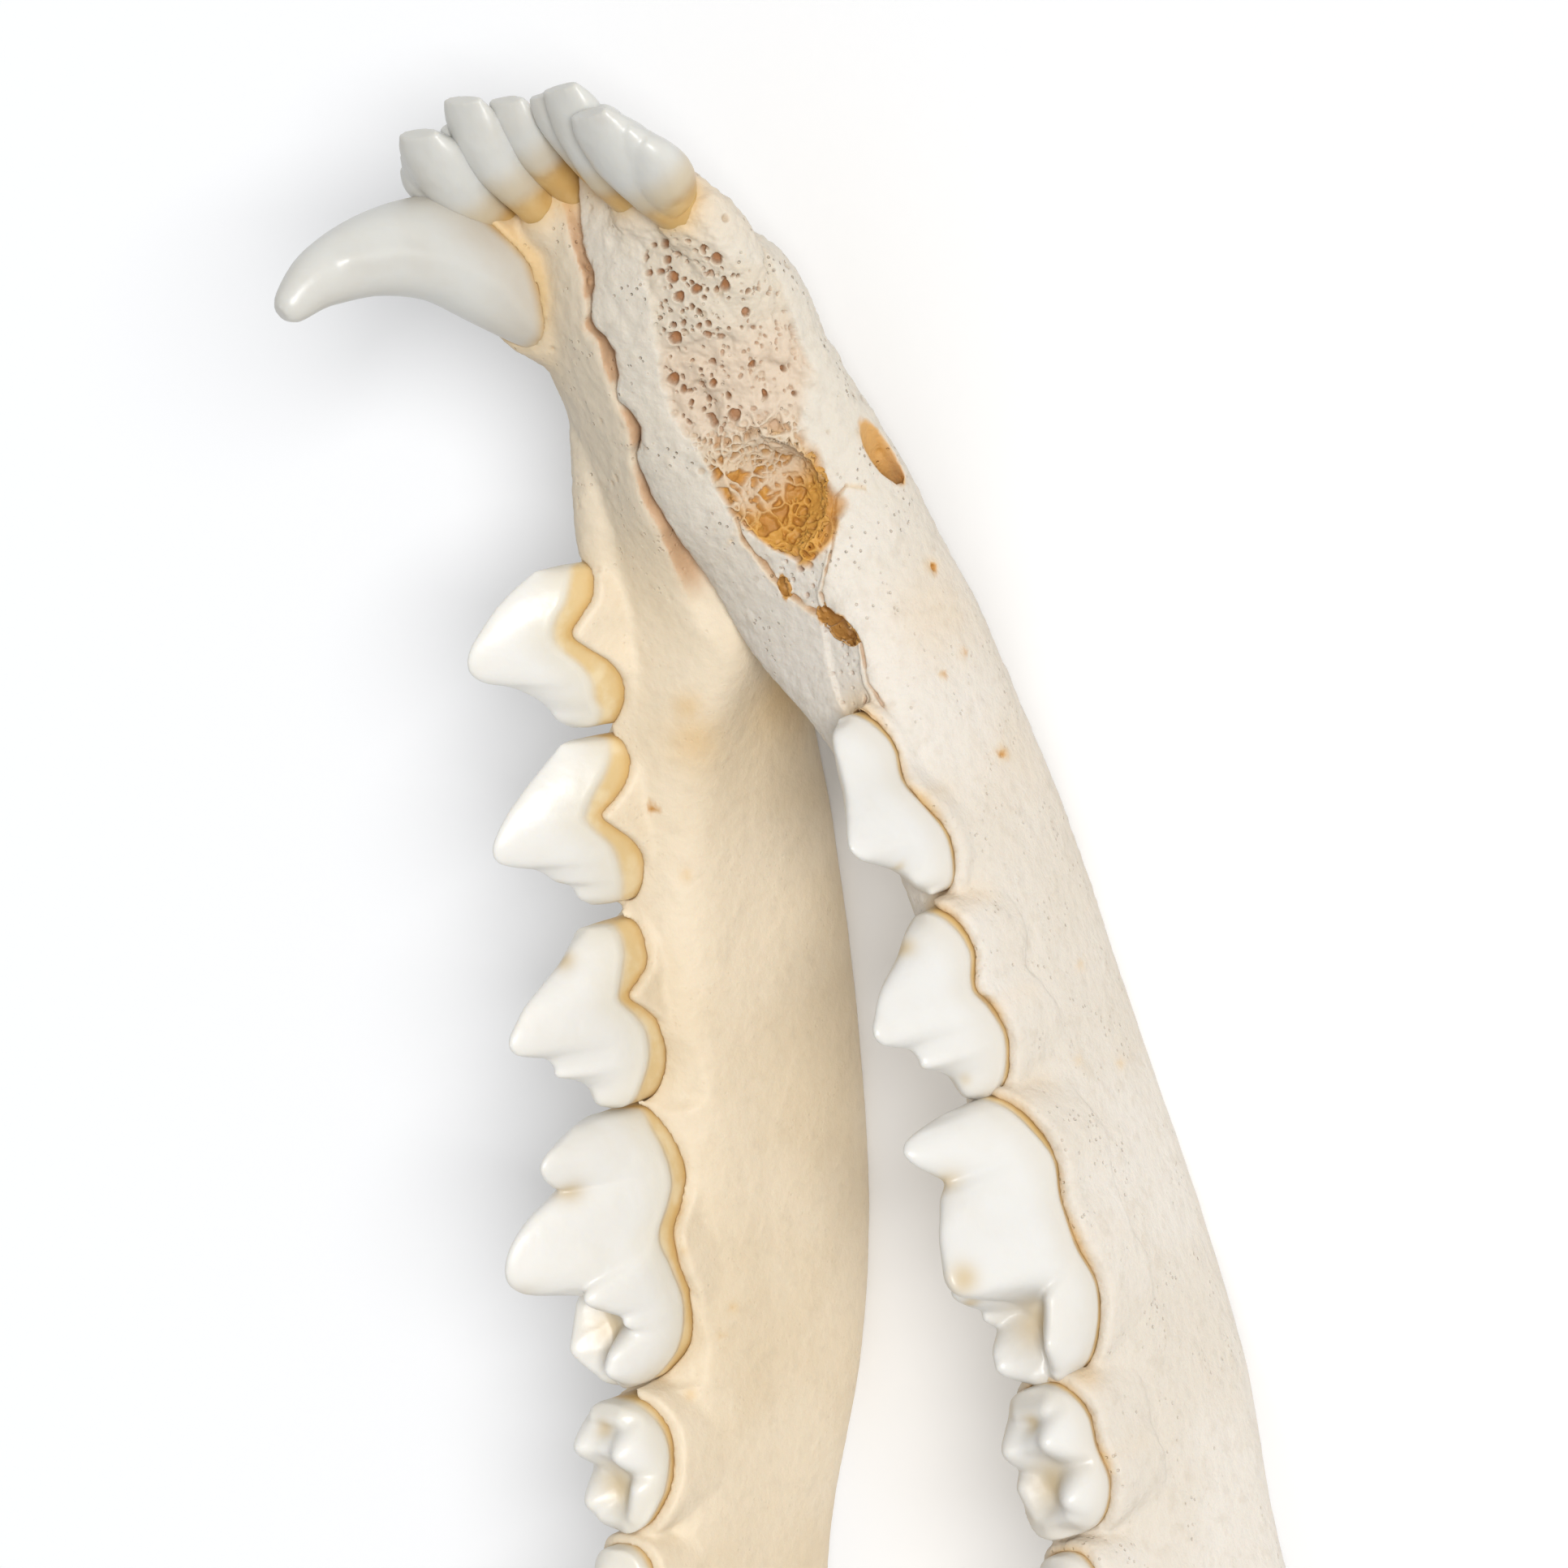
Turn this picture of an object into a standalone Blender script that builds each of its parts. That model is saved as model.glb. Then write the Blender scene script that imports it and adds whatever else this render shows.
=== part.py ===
"""Lower jaw of a red fox at life size, resting on its lower borders.

Two jaw bones meet at the chin seam. Each carries its incisors, premolars and molars, and the left fang is
a piece of its own in its socket. The right fang and the right second premolar are lost, so their sockets
are open. Shapes are worked out in millimetres in the animal's own frame: +X to the front, +Y to its left,
+Z up from the lower border to the teeth. set_down() then puts the jaw on the floor, in metres, with the
origin below its middle.
"""
import math

import bmesh
import bpy
from mathutils import Matrix, Vector

MM = 0.001
GAP = 0.3                     # clear space kept between neighbouring pieces
SEAM = GAP / 2                # each bone stops this far from the middle plane

# Lengths along the jaw, from the front of the incisor sockets (0) to the back of the joint.
CHIN_FRONT = 0.9
BODY_BACK = -93.0
RAMUS_FRONT = -75.0
INNER_CORNER = 0.5            # squares the upper inner edge of the bone: 1 is round, less is squarer
BODY_RINGS = 44
BODY_SIDES = 18

# Body of the bone, front to back: x, then the top (y, z, outer half, inner half, slope) and the lower
# border (y, z, outer half, inner half). Where the inner half is wide the bones meet flat at the chin seam.
BODY_STATIONS = (
    (0.9, 2.4, 1.9, 2.5, 3.5, 0, 2.0, 0.5, 1.7, 3.0),
    (-3.0, 3.4, 2.8, 3.8, 6.0, -8, 2.8, -2.0, 2.7, 5.0),
    (-8.0, 4.0, 2.9, 4.4, 6.5, -17, 3.7, -4.8, 3.1, 5.5),
    (-13.0, 4.4, 1.6, 4.3, 6.5, -23, 4.0, -7.0, 3.5, 5.5),
    (-18.0, 5.2, 0.4, 3.7, 7.0, -23, 4.4, -9.2, 3.7, 5.5),
    (-22.0, 6.6, -0.3, 3.0, 7.6, -10, 5.0, -10.4, 3.4, 4.6),
    (-26.0, 7.8, -0.6, 2.6, 6.8, -2, 6.1, -11.4, 3.0, 3.4),
    (-31.0, 9.1, -0.6, 2.5, 4.2, 0, 7.0, -12.2, 2.7, 2.7),
    (-38.0, 10.6, -0.9, 2.6, 3.8, 0, 8.0, -13.2, 2.6, 2.6),
    (-48.0, 12.2, -0.2, 2.9, 3.6, 0, 9.4, -13.6, 2.6, 2.6),
    (-58.0, 13.9, 0.5, 3.3, 3.5, 0, 11.2, -13.6, 2.6, 2.6),
    (-66.0, 14.5, 1.9, 3.0, 3.1, 0, 13.1, -12.7, 2.6, 2.6),
    (-74.0, 15.5, 3.1, 2.3, 2.5, 0, 15.0, -10.4, 2.5, 2.5),
    (-83.0, 17.4, 2.6, 1.6, 1.6, 0, 17.0, -9.4, 2.0, 2.0),
    (-93.0, 19.4, 2.0, 1.2, 1.2, 0, 19.0, -7.4, 1.5, 1.5),
)

# Upright plate behind the teeth, bottom to top: z, front edge x, back edge x, half its front ridge.
RAMUS_STATIONS = (
    (-7.5, -79.0, -97.0, 1.3),
    (-2.0, -75.0, -99.5, 1.7),
    (4.0, -76.6, -99.0, 1.9),
    (10.0, -80.0, -95.8, 1.8),
    (16.0, -83.6, -96.2, 1.6),
    (22.0, -87.4, -98.4, 1.3),
    (25.4, -90.2, -98.8, 1.1),
    (27.2, -92.8, -96.4, 0.8),
)
RAMUS_SIDES = 16
RAMUS_MIDDLE_Y = 15.9         # middle of the plate where it starts
RAMUS_FLARE = 0.19            # how fast it runs outward towards the back
RAMUS_LEAN = 0.07             # how far its top leans outward
RAMUS_INNER = 0.9             # thickness on the inner side of its middle plane

# Hook below the joint: points of its middle line, with half height and half thickness.
HOOK_LINE = (
    (-86.0, 17.6, -5.6, 3.4, 1.5),
    (-93.0, 19.0, -6.0, 3.0, 1.6),
    (-99.0, 20.0, -5.8, 2.3, 1.5),
    (-103.5, 20.6, -4.6, 1.5, 1.3),
    (-106.0, 20.9, -3.0, 0.8, 0.8),
)
# Stalk that carries the joint, as the hook is given.
NECK_LINE = (
    (-90.0, 18.6, -0.4, 5.6, 1.2),
    (-96.5, 20.1, 1.0, 4.2, 1.6),
    (-100.0, 21.0, 2.4, 2.9, 2.1),
    (-102.2, 21.8, 3.4, 2.2, 2.8),
)
CONDYLE_CENTRE = (-103.0, 22.4, 3.9)
CONDYLE_HALF = (2.3, 6.6, 2.5)

# Cheek teeth: middle of the socket rim, length, width, turn to the row and lean outward in degrees, height
# of the neck above the rim, and ridges between peaks as (x, y, height, x, y, height, slope of the sides).
CHEEK_TEETH = {
    "p2": dict(at=(-25.0, 8.2, -0.7), length=7.7, width=3.0, turn=16, lean=22, neck=0.6, ridges=(
        (0.5, 0, 7.5, 2.2, 0, 5.7, 2.8), (2.2, 0, 5.7, 3.5, 0, 2.8, 2.2), (0.5, 0, 7.5, -0.2, 0, 6.9, 2.8),
        (-0.2, 0, 6.9, -1.6, 0, 3.6, 2.6), (-1.6, 0, 3.6, -3.4, 0, 2.2, 2.0))),
    "p3": dict(at=(-33.9, 10.1, -0.7), length=8.3, width=3.2, turn=13, lean=19, neck=0.7, ridges=(
        (-0.5, 0, 7.3, 2.4, 0, 3.8, 2.6), (2.4, 0, 3.8, 3.9, 0, 1.8, 2.2),
        (-0.5, 0, 7.3, -1.9, 0, 3.6, 2.6), (-1.9, 0, 3.6, -2.6, 0, 3.9, 2.4),
        (-2.6, 0, 3.9, -3.9, 0, 2.1, 2.0))),
    "p4": dict(at=(-43.9, 11.8, 0.0), length=9.1, width=3.9, turn=8, lean=6, neck=0.7, ridges=(
        (-0.2, 0, 7.8, 2.6, 0, 4.0, 2.4), (2.6, 0, 4.0, 4.3, 0, 1.8, 2.0),
        (-0.2, 0, 7.8, -1.7, 0, 3.9, 2.4), (-1.7, 0, 3.9, -2.5, 0, 4.5, 2.2),
        (-2.5, 0, 4.5, -3.2, 0, 2.9, 2.0), (-3.2, 0, 2.9, -4.3, 0, 2.2, 1.8))),
    "m1": dict(at=(-56.1, 13.5, 0.3), length=13.6, width=5.6, turn=8, lean=6, neck=0.8, ridges=(
        (6.5, -1.0, 5.6, 6.1, -0.9, 7.0, 2.2), (6.1, -0.9, 7.0, 4.2, -0.3, 5.0, 2.4),
        (4.2, -0.3, 5.0, 0.2, 0.4, 8.9, 2.4), (0.2, 0.4, 8.9, -1.3, 0.6, 4.2, 2.4),
        (-1.1, -1.7, 5.7, -1.1, -1.7, 5.7, 2.6), (-1.3, 0.6, 4.2, -4.1, 1.9, 3.5, 1.6),
        (-4.1, 1.9, 3.5, -6.0, 0.9, 2.6, 1.6), (-5.0, -2.0, 3.9, -6.2, -0.8, 2.7, 1.8))),
    "m2": dict(at=(-67.2, 14.6, 1.8), length=6.5, width=5.0, turn=6, lean=3, neck=0.3, ridges=(
        (1.5, 1.2, 2.5, 1.5, 1.2, 2.5, 1.1), (1.2, -1.3, 2.6, 1.2, -1.3, 2.6, 1.1),
        (-1.6, 1.2, 2.2, -1.6, 1.2, 2.2, 1.1), (2.4, 0, 1.6, 1.5, 1.2, 2.3, 1.2),
        (-2.4, -0.4, 1.5, -1.6, 1.2, 2.0, 1.2))),
    "m3": dict(at=(-73.0, 15.4, 3.0), length=3.7, width=3.3, turn=6, lean=2, neck=0.2, ridges=(
        (0.3, 0, 1.5, -0.3, 0, 1.4, 0.6),)),
}
TOOTH_RINGS = {"m1": 22, "p4": 15, "p3": 14, "p2": 13, "m2": 11, "m3": 7}
TOOTH_ACROSS = (0.0, 0.34, 0.64, 0.88, 1.0)
OUTLINE_POWER = 2.6           # 2 is an ellipse, more is fuller at the ends
BLUNT = 0.5                   # radius that rounds the peaks and ridges
ROOT_DEPTH = 3.4
ROOT_WIDTH = 0.78             # of the crown's width
FURCATION = 0.22              # how far the root pinches in between its two prongs

# Incisors: neck, tip, width and thickness of the crown.
INCISORS = {
    "i1": dict(neck=(0.1, 1.45, 2.6), tip=(4.6, 1.35, 5.6), width=2.3, depth=2.4),
    "i2": dict(neck=(-0.5, 3.7, 2.8), tip=(4.2, 3.5, 6.3), width=2.7, depth=2.8),
    "i3": dict(neck=(-1.7, 6.1, 3.0), tip=(2.7, 5.9, 7.5), width=3.3, depth=3.2),
}
# Along an incisor: distance along neck to tip, width and depth as a share of the crown's.
INCISOR_PROFILE = (
    (-0.75, 0.5, 0.55), (-0.2, 0.66, 0.76), (0.1, 0.82, 0.96), (0.4, 1.0, 0.9),
    (0.72, 0.98, 0.6), (0.93, 0.74, 0.36), (1.0, 0.42, 0.2),
)
INCISOR_SIDES = 10

# Fang: middle line from the root's end to the tip, with half length (front to back) and half width.
FANG_LINE = (
    (-13.4, 4.7, -3.2, 1.4, 1.3),
    (-10.3, 5.1, -1.6, 2.4, 1.9),
    (-7.2, 5.6, 0.6, 3.2, 2.3),
    (-5.1, 6.5, 3.2, 3.3, 2.4),
    (-3.6, 7.5, 6.2, 2.8, 2.2),
    (-2.9, 8.5, 9.4, 2.2, 1.9),
    (-3.0, 9.4, 12.4, 1.6, 1.4),
    (-3.9, 10.0, 14.4, 1.0, 0.9),
    (-4.2, 10.2, 15.0, 0.5, 0.5),
)
# Swelling of the bone round the fang's root.
SWELLING_LINE = (
    (-15.6, 4.6, -4.4, 1.2, 1.6),
    (-12.4, 4.9, -3.2, 2.6, 2.6),
    (-9.2, 5.2, -1.9, 3.0, 2.8),
    (-7.2, 5.3, -0.9, 2.7, 2.6),
    (-6.2, 5.4, -0.2, 2.1, 2.1),
)
FANG_RINGS = 20
FANG_SIDES = 14

TEETH_LEFT = ("i1", "i2", "i3", "p2", "p3", "p4", "m1", "m2", "m3")
TEETH_RIGHT = ("i1", "i2", "i3", "p3", "p4", "m1", "m2", "m3")

# Open sockets and nerve holes as ellipsoids: centre, half sizes, turn about Y and Z in degrees.
RIGHT_HOLES = (
    ((-8.4, 6.1, 2.8), (5.4, 2.7, 3.0), (20, -8)),
    ((-12.8, 6.4, 0.6), (4.4, 2.6, 3.0), (28, -8)),
    ((-16.6, 6.6, -1.6), (2.7, 2.0, 2.8), (35, -8)),
    ((-23.4, 7.7, -0.9), (1.3, 1.0, 2.4), (10, 0)),
    ((-27.0, 8.4, -0.6), (1.2, 0.9, 1.6), (-10, 0)),
)
BOTH_HOLES = (
    ((-17.2, 8.8, -4.4), (1.3, 1.6, 0.8), (0, 20)),
    ((-26.5, 9.6, -5.8), (0.6, 1.2, 0.4), (0, 15)),
)

FLAT_DEPTH = 0.25             # the lower borders are cut flat this deep, where the jaw rests

BONE_COLOUR = (0.80, 0.70, 0.55, 1.0)
ENAMEL_COLOUR = (0.90, 0.87, 0.80, 1.0)


def clear_scene():
    for old in list(bpy.data.objects):
        bpy.data.objects.remove(old, do_unlink=True)


def new_collection(name):
    group = bpy.data.collections.new(name)
    bpy.context.scene.collection.children.link(group)
    return group


def finish_material(name, colour, roughness):
    material = bpy.data.materials.new(name)
    material.use_nodes = True
    shader = material.node_tree.nodes["Principled BSDF"]
    shader.inputs["Base Color"].default_value = colour
    shader.inputs["Roughness"].default_value = roughness
    shader.inputs["Metallic"].default_value = 0.0
    return material


def smooth_between(rows, along):
    """Values of the rows at a place along their first column, on a curve through every row."""
    keys = [row[0] for row in rows]
    if keys[0] > keys[-1]:
        rows, keys = rows[::-1], keys[::-1]
    i = 0
    while i < len(keys) - 2 and along > keys[i + 1]:
        i += 1
    k = (along - keys[i]) / (keys[i + 1] - keys[i])
    k = min(max(k, 0.0), 1.0)
    before, after = rows[max(i - 1, 0)], rows[min(i + 2, len(rows) - 1)]
    a, b = rows[i], rows[i + 1]
    step = keys[i + 1] - keys[i]
    values = []
    for c in range(1, len(a)):
        slope_a = (b[c] - before[c]) / (b[0] - before[0]) * step
        slope_b = (after[c] - a[c]) / (after[0] - a[0]) * step
        values.append(
            a[c] * (2 * k**3 - 3 * k**2 + 1) + slope_a * (k**3 - 2 * k**2 + k)
            + b[c] * (3 * k**2 - 2 * k**3) + slope_b * (k**3 - k**2)
        )
    return values


def along_line(points, count):
    """Evenly spread stations on a smooth line: position, direction and the two half sizes at each."""
    rows = [(float(i),) + tuple(p) for i, p in enumerate(points)]
    last = len(points) - 1
    stations = []
    for i in range(count):
        s = last * i / (count - 1)
        x, y, z, a, b = smooth_between(rows, s)
        ahead = smooth_between(rows, min(s + 0.05, last))
        behind = smooth_between(rows, max(s - 0.05, 0))
        heading = Vector(ahead[:3]) - Vector(behind[:3])
        stations.append((Vector((x, y, z)), heading.normalized(), a, b))
    return stations


def loft(name, rings, group):
    """Closed mesh through rings of equal length, each end closed by a fan."""
    sides = len(rings[0])
    verts = [Vector(p) * MM for ring in rings for p in ring]
    faces = []
    for r in range(len(rings) - 1):
        for i in range(sides):
            j = (i + 1) % sides
            low, high = r * sides, (r + 1) * sides
            faces.append((low + i, low + j, high + j, high + i))
    for r in (0, len(rings) - 1):
        middle = len(verts)
        ring = verts[r * sides:(r + 1) * sides]
        verts.append(sum(ring, Vector()) / sides)
        for i in range(sides):
            faces.append((r * sides + i, r * sides + (i + 1) % sides, middle))
    mesh = bpy.data.meshes.new(name)
    mesh.from_pydata(verts, [], faces)
    work = bmesh.new()
    work.from_mesh(mesh)
    bmesh.ops.recalc_face_normals(work, faces=work.faces)
    bmesh.ops.triangulate(work, faces=work.faces)
    work.to_mesh(mesh)
    work.free()
    piece = bpy.data.objects.new(name, mesh)
    group.objects.link(piece)
    return piece


def power(value, exponent):
    return math.copysign(abs(value) ** exponent, value)


def body_ring(x):
    """Section across the bone at x: a rounded box along a line from the lower border to the sockets."""
    top_y, top_z, top_out, top_in, slope, low_y, low_z, low_out, low_in = smooth_between(BODY_STATIONS, x)
    ring = []
    for i in range(BODY_SIDES):
        angle = math.tau * i / BODY_SIDES
        across = power(math.cos(angle), 0.8)
        up = power(math.sin(angle), INNER_CORNER if across < 0 < math.sin(angle) else 0.85)
        share = (up + 1) / 2
        low_half, top_half = (low_out, top_out) if across > 0 else (low_in, top_in)
        half = low_half + (top_half - low_half) * share
        tilt = math.radians(slope) * share
        y = low_y + (top_y - low_y) * share + half * across * math.cos(tilt)
        z = low_z + (top_z - low_z) * share + half * across * math.sin(tilt)
        ring.append((x, max(y, SEAM), z))
    return ring


def bone_body(group):
    rings = []
    for i in range(BODY_RINGS):
        share = i / (BODY_RINGS - 1)
        rings.append(body_ring(CHIN_FRONT + (BODY_BACK - CHIN_FRONT) * share ** 1.15))
    return loft("body", rings, group)


def ramus_ring(z):
    """Level section of the upright plate: a thick front ridge, then thin bone, hollow outside."""
    front, back, ridge = smooth_between(RAMUS_STATIONS, z)
    ring = []
    for i in range(RAMUS_SIDES):
        angle = math.tau * i / RAMUS_SIDES
        share = (1 - math.cos(angle)) / 2
        x = front + (back - front) * share
        middle = RAMUS_MIDDLE_Y + RAMUS_FLARE * (RAMUS_FRONT - x) + RAMUS_LEAN * z
        edge = abs(math.sin(angle)) ** 0.6
        outer = ridge * (0.35 + 0.65 * math.exp(-((share - 0.12) / 0.16) ** 2) + 0.12 * share)
        y = middle + edge * (outer if math.sin(angle) > 0 else -RAMUS_INNER)
        ring.append((x, y, z))
    return ring


def ramus(group):
    levels = (-7.5, -4, 0, 4, 8, 12, 16, 20, 23.5, 25.8, 27.2)
    return loft("ramus", [ramus_ring(z) for z in levels], group)


def swept(name, points, count, sides, side_axis, group, grow=0.0):
    """Tube of oval sections along a smooth line. side_axis is the direction of the second half size."""
    rings = []
    for centre, heading, first, second in along_line(points, count):
        across = (side_axis - heading * side_axis.dot(heading)).normalized()
        other = across.cross(heading).normalized()
        ring = []
        for i in range(sides):
            angle = math.tau * i / sides
            point = centre + other * (first + grow) * math.cos(angle)
            ring.append(point + across * (second + grow) * math.sin(angle))
        rings.append(ring)
    return loft(name, rings, group)


def ellipsoid(name, centre, half, turns, group, segments=16):
    mesh = bpy.data.meshes.new(name)
    work = bmesh.new()
    bmesh.ops.create_uvsphere(work, u_segments=segments, v_segments=segments // 2, radius=1.0)
    pitch, yaw = (math.radians(t) for t in turns)
    place = Matrix.Translation(Vector(centre) * MM)
    turned = Matrix.Rotation(yaw, 4, "Z") @ Matrix.Rotation(pitch, 4, "Y")
    sized = Matrix.Diagonal(tuple(h * MM for h in half) + (1.0,))
    bmesh.ops.transform(work, matrix=place @ turned @ sized, verts=work.verts)
    bmesh.ops.triangulate(work, faces=work.faces)
    work.to_mesh(mesh)
    work.free()
    piece = bpy.data.objects.new(name, mesh)
    group.objects.link(piece)
    return piece


def relief(ridges, x, y):
    """Height of a crown over its socket rim: the highest of its ridges, each with its own slope."""
    heights = []
    for x1, y1, h1, x2, y2, h2, slope in ridges:
        run = (x2 - x1) ** 2 + (y2 - y1) ** 2
        share = 0.0 if run < 1e-9 else ((x - x1) * (x2 - x1) + (y - y1) * (y2 - y1)) / run
        share = min(max(share, 0.0), 1.0)
        far = math.hypot(x - x1 - share * (x2 - x1), y - y1 - share * (y2 - y1), BLUNT) - BLUNT
        heights.append(h1 + (h2 - h1) * share - slope * far)
    peak = max(heights)
    return peak + math.log(sum(math.exp((h - peak) * 4) for h in heights)) / 4 - 0.12


def tooth_frame(at, turn, lean):
    turned = Matrix.Rotation(math.radians(-turn), 4, "Z") @ Matrix.Rotation(math.radians(-lean), 4, "X")
    return Matrix.Translation(Vector(at)) @ turned


def cheek_tooth(name, group):
    """A crown as arches along the tooth row, standing on a root that pinches in between its two prongs."""
    size = CHEEK_TEETH[name]
    length, half_width, neck = size["length"], size["width"] / 2, size["neck"]
    frame = tooth_frame(size["at"], size["turn"], size["lean"])
    count = TOOTH_RINGS[name]
    rings = []
    for i in range(count):
        share = -math.cos(math.pi * (0.03 + 0.94 * i / (count - 1)))
        x = -share * length / 2
        width = half_width * (1 - abs(share) ** OUTLINE_POWER) ** (1 / OUTLINE_POWER)
        pinch = ROOT_WIDTH - FURCATION * math.exp(-(share / 0.25) ** 2)
        ring = [(x * 0.84, -width * pinch, -ROOT_DEPTH), (x * 0.93, -width * 0.86, neck * 0.5)]
        for u in [-v for v in TOOTH_ACROSS[:0:-1]] + list(TOOTH_ACROSS):
            y = u * width
            rim = neck + 0.5
            height = max(relief(size["ridges"], x, y), rim)
            z = rim + (height - rim) * (1 - abs(u) ** 5) ** 0.5
            ring.append((x, y, z))
        ring += [(x * 0.93, width * 0.86, neck * 0.5), (x * 0.84, width * pinch, -ROOT_DEPTH)]
        rings.append([frame @ Vector(p) for p in ring])
    return loft(name, rings, group)


def incisor(name, group):
    """A small chisel that leans forward from its socket and flattens towards its edge."""
    size = INCISORS[name]
    neck, tip = Vector(size["neck"]), Vector(size["tip"])
    heading = (tip - neck).normalized()
    across = Vector((0, 1, 0))
    across = (across - heading * across.dot(heading)).normalized()
    thick = heading.cross(across).normalized()
    rings = []
    for along, wide, deep in INCISOR_PROFILE:
        centre = neck.lerp(tip, along)
        ring = []
        for i in range(INCISOR_SIDES):
            angle = math.tau * i / INCISOR_SIDES
            side = across * size["width"] / 2 * wide * power(math.cos(angle), 0.8)
            ring.append(centre + side + thick * size["depth"] / 2 * deep * power(math.sin(angle), 0.8))
        rings.append(ring)
    return loft(name, rings, group)


def apply_modifiers(piece):
    """Replace the piece's mesh by the one its modifiers make, and take the modifiers off."""
    depsgraph = bpy.context.evaluated_depsgraph_get()
    made = bpy.data.meshes.new_from_object(piece.evaluated_get(depsgraph))
    piece.modifiers.clear()
    piece.data = made


def join_all(piece, group):
    """One union of the piece with every object of the group, which are then removed."""
    union = piece.modifiers.new("union", "BOOLEAN")
    union.operation = "UNION"
    union.operand_type = "COLLECTION"
    union.collection = group
    union.solver = "EXACT"
    apply_modifiers(piece)
    for spent in list(group.objects):
        bpy.data.objects.remove(spent, do_unlink=True)


def cut_all(piece, group):
    """Cut every object of the group out of the piece, and remove them."""
    cut = piece.modifiers.new("cut", "BOOLEAN")
    cut.operation = "DIFFERENCE"
    cut.operand_type = "COLLECTION"
    cut.collection = group
    cut.solver = "EXACT"
    apply_modifiers(piece)
    for spent in list(group.objects):
        bpy.data.objects.remove(spent, do_unlink=True)


def keep_largest(piece):
    """Keep the closed surface with the most faces, and drop scraps and sealed hollows."""
    work = bmesh.new()
    work.from_mesh(piece.data)
    work.faces.ensure_lookup_table()
    left = set(work.faces)
    shells = []
    while left:
        start = left.pop()
        shell, queue = {start}, [start]
        while queue:
            for edge in queue.pop().edges:
                for face in edge.link_faces:
                    if face in left:
                        left.discard(face)
                        shell.add(face)
                        queue.append(face)
        shells.append(shell)
    shells.sort(key=len)
    for shell in shells[:-1]:
        bmesh.ops.delete(work, geom=list(shell), context="FACES")
    bmesh.ops.triangulate(work, faces=work.faces)
    work.to_mesh(piece.data)
    work.free()


def mirror_to_right(piece):
    piece.data.transform(Matrix.Scale(-1, 4, (0, 1, 0)))
    piece.data.flip_normals()


def fang(name, group, grow=0.0):
    return swept(name, FANG_LINE, FANG_RINGS, FANG_SIDES, Vector((0, 1, 0)), group, grow)


def dentary(name, teeth, holes, right, parts, cutters):
    """One jaw bone with its teeth fused in, its sockets and nerve holes cut."""
    joined = new_collection(name + "_pieces")
    bone = bone_body(parts)
    bone.name = name
    ramus(joined)
    swept("hook", HOOK_LINE, 9, 12, Vector((0, 1, 0)), joined)
    swept("neck", NECK_LINE, 6, 12, Vector((0, 1, 0)), joined)
    swept("swelling", SWELLING_LINE, 8, 14, Vector((0, 1, 0)), joined)
    ellipsoid("condyle", CONDYLE_CENTRE, CONDYLE_HALF, (0, -8), joined)
    for tooth in teeth:
        if tooth in INCISORS:
            incisor(tooth, joined)
        else:
            cheek_tooth(tooth, joined)
    join_all(bone, joined)
    for i, (centre, half, turns) in enumerate(holes):
        ellipsoid(f"hole_{i}", centre, half, turns, cutters)
    if not right:
        fang("fang_socket", cutters, GAP)
    cut_all(bone, cutters)
    bpy.data.collections.remove(joined)
    keep_largest(bone)
    if right:
        mirror_to_right(bone)
    return bone


def set_down(pieces):
    """Put the jaw on the floor, cut flat where it touches, with the origin below its middle."""
    points = [v.co for piece in pieces for v in piece.data.vertices]
    low = Vector([min(p[i] for p in points) for i in range(3)])
    high = Vector([max(p[i] for p in points) for i in range(3)])
    shift = Vector((-(low.x + high.x) / 2, -(low.y + high.y) / 2, -low.z - FLAT_DEPTH * MM))
    for piece in pieces:
        piece.data.transform(Matrix.Translation(shift))
        work = bmesh.new()
        work.from_mesh(piece.data)
        everything = work.verts[:] + work.edges[:] + work.faces[:]
        cut = bmesh.ops.bisect_plane(
            work, geom=everything, plane_co=(0, 0, 0), plane_no=(0, 0, -1), clear_outer=True, dist=1e-9
        )
        rim = [g for g in cut["geom_cut"] if isinstance(g, bmesh.types.BMEdge)]
        if rim:
            bmesh.ops.triangle_fill(work, edges=rim, use_beauty=True)
            bmesh.ops.recalc_face_normals(work, faces=work.faces)
            bmesh.ops.triangulate(work, faces=work.faces)
        work.to_mesh(piece.data)
        work.free()


def main():
    clear_scene()
    parts = new_collection("fox_lower_jaw")
    cutters = new_collection("cutters")
    bone_finish = finish_material("bone", BONE_COLOUR, 0.55)
    enamel_finish = finish_material("enamel", ENAMEL_COLOUR, 0.3)
    left = dentary("left_dentary", TEETH_LEFT, BOTH_HOLES, False, parts, cutters)
    right = dentary("right_dentary", TEETH_RIGHT, BOTH_HOLES + RIGHT_HOLES, True, parts, cutters)
    canine = fang("left_canine", parts)
    bpy.data.collections.remove(cutters)
    for piece, finish in ((left, bone_finish), (right, bone_finish), (canine, enamel_finish)):
        piece.data.materials.clear()
        piece.data.materials.append(finish)
    set_down((left, right, canine))


main()
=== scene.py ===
# %% [markdown]
# # Looks of a red fox's lower jaw
# The real object is a cleaned lower jaw: two bones that meet at the chin seam, with the teeth still in
# them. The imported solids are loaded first, as a fixed frame. Every piece below is finer than its solid
# and stands in the same place. Shapes are worked out in millimetres in the animal's own frame, with +X
# to the front, +Y to its left and +Z up, and are moved to the floor, in metres, at the very end.

# %% Load the frame
import math

import bpy
import numpy as np
from mathutils import Matrix, Vector


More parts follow.
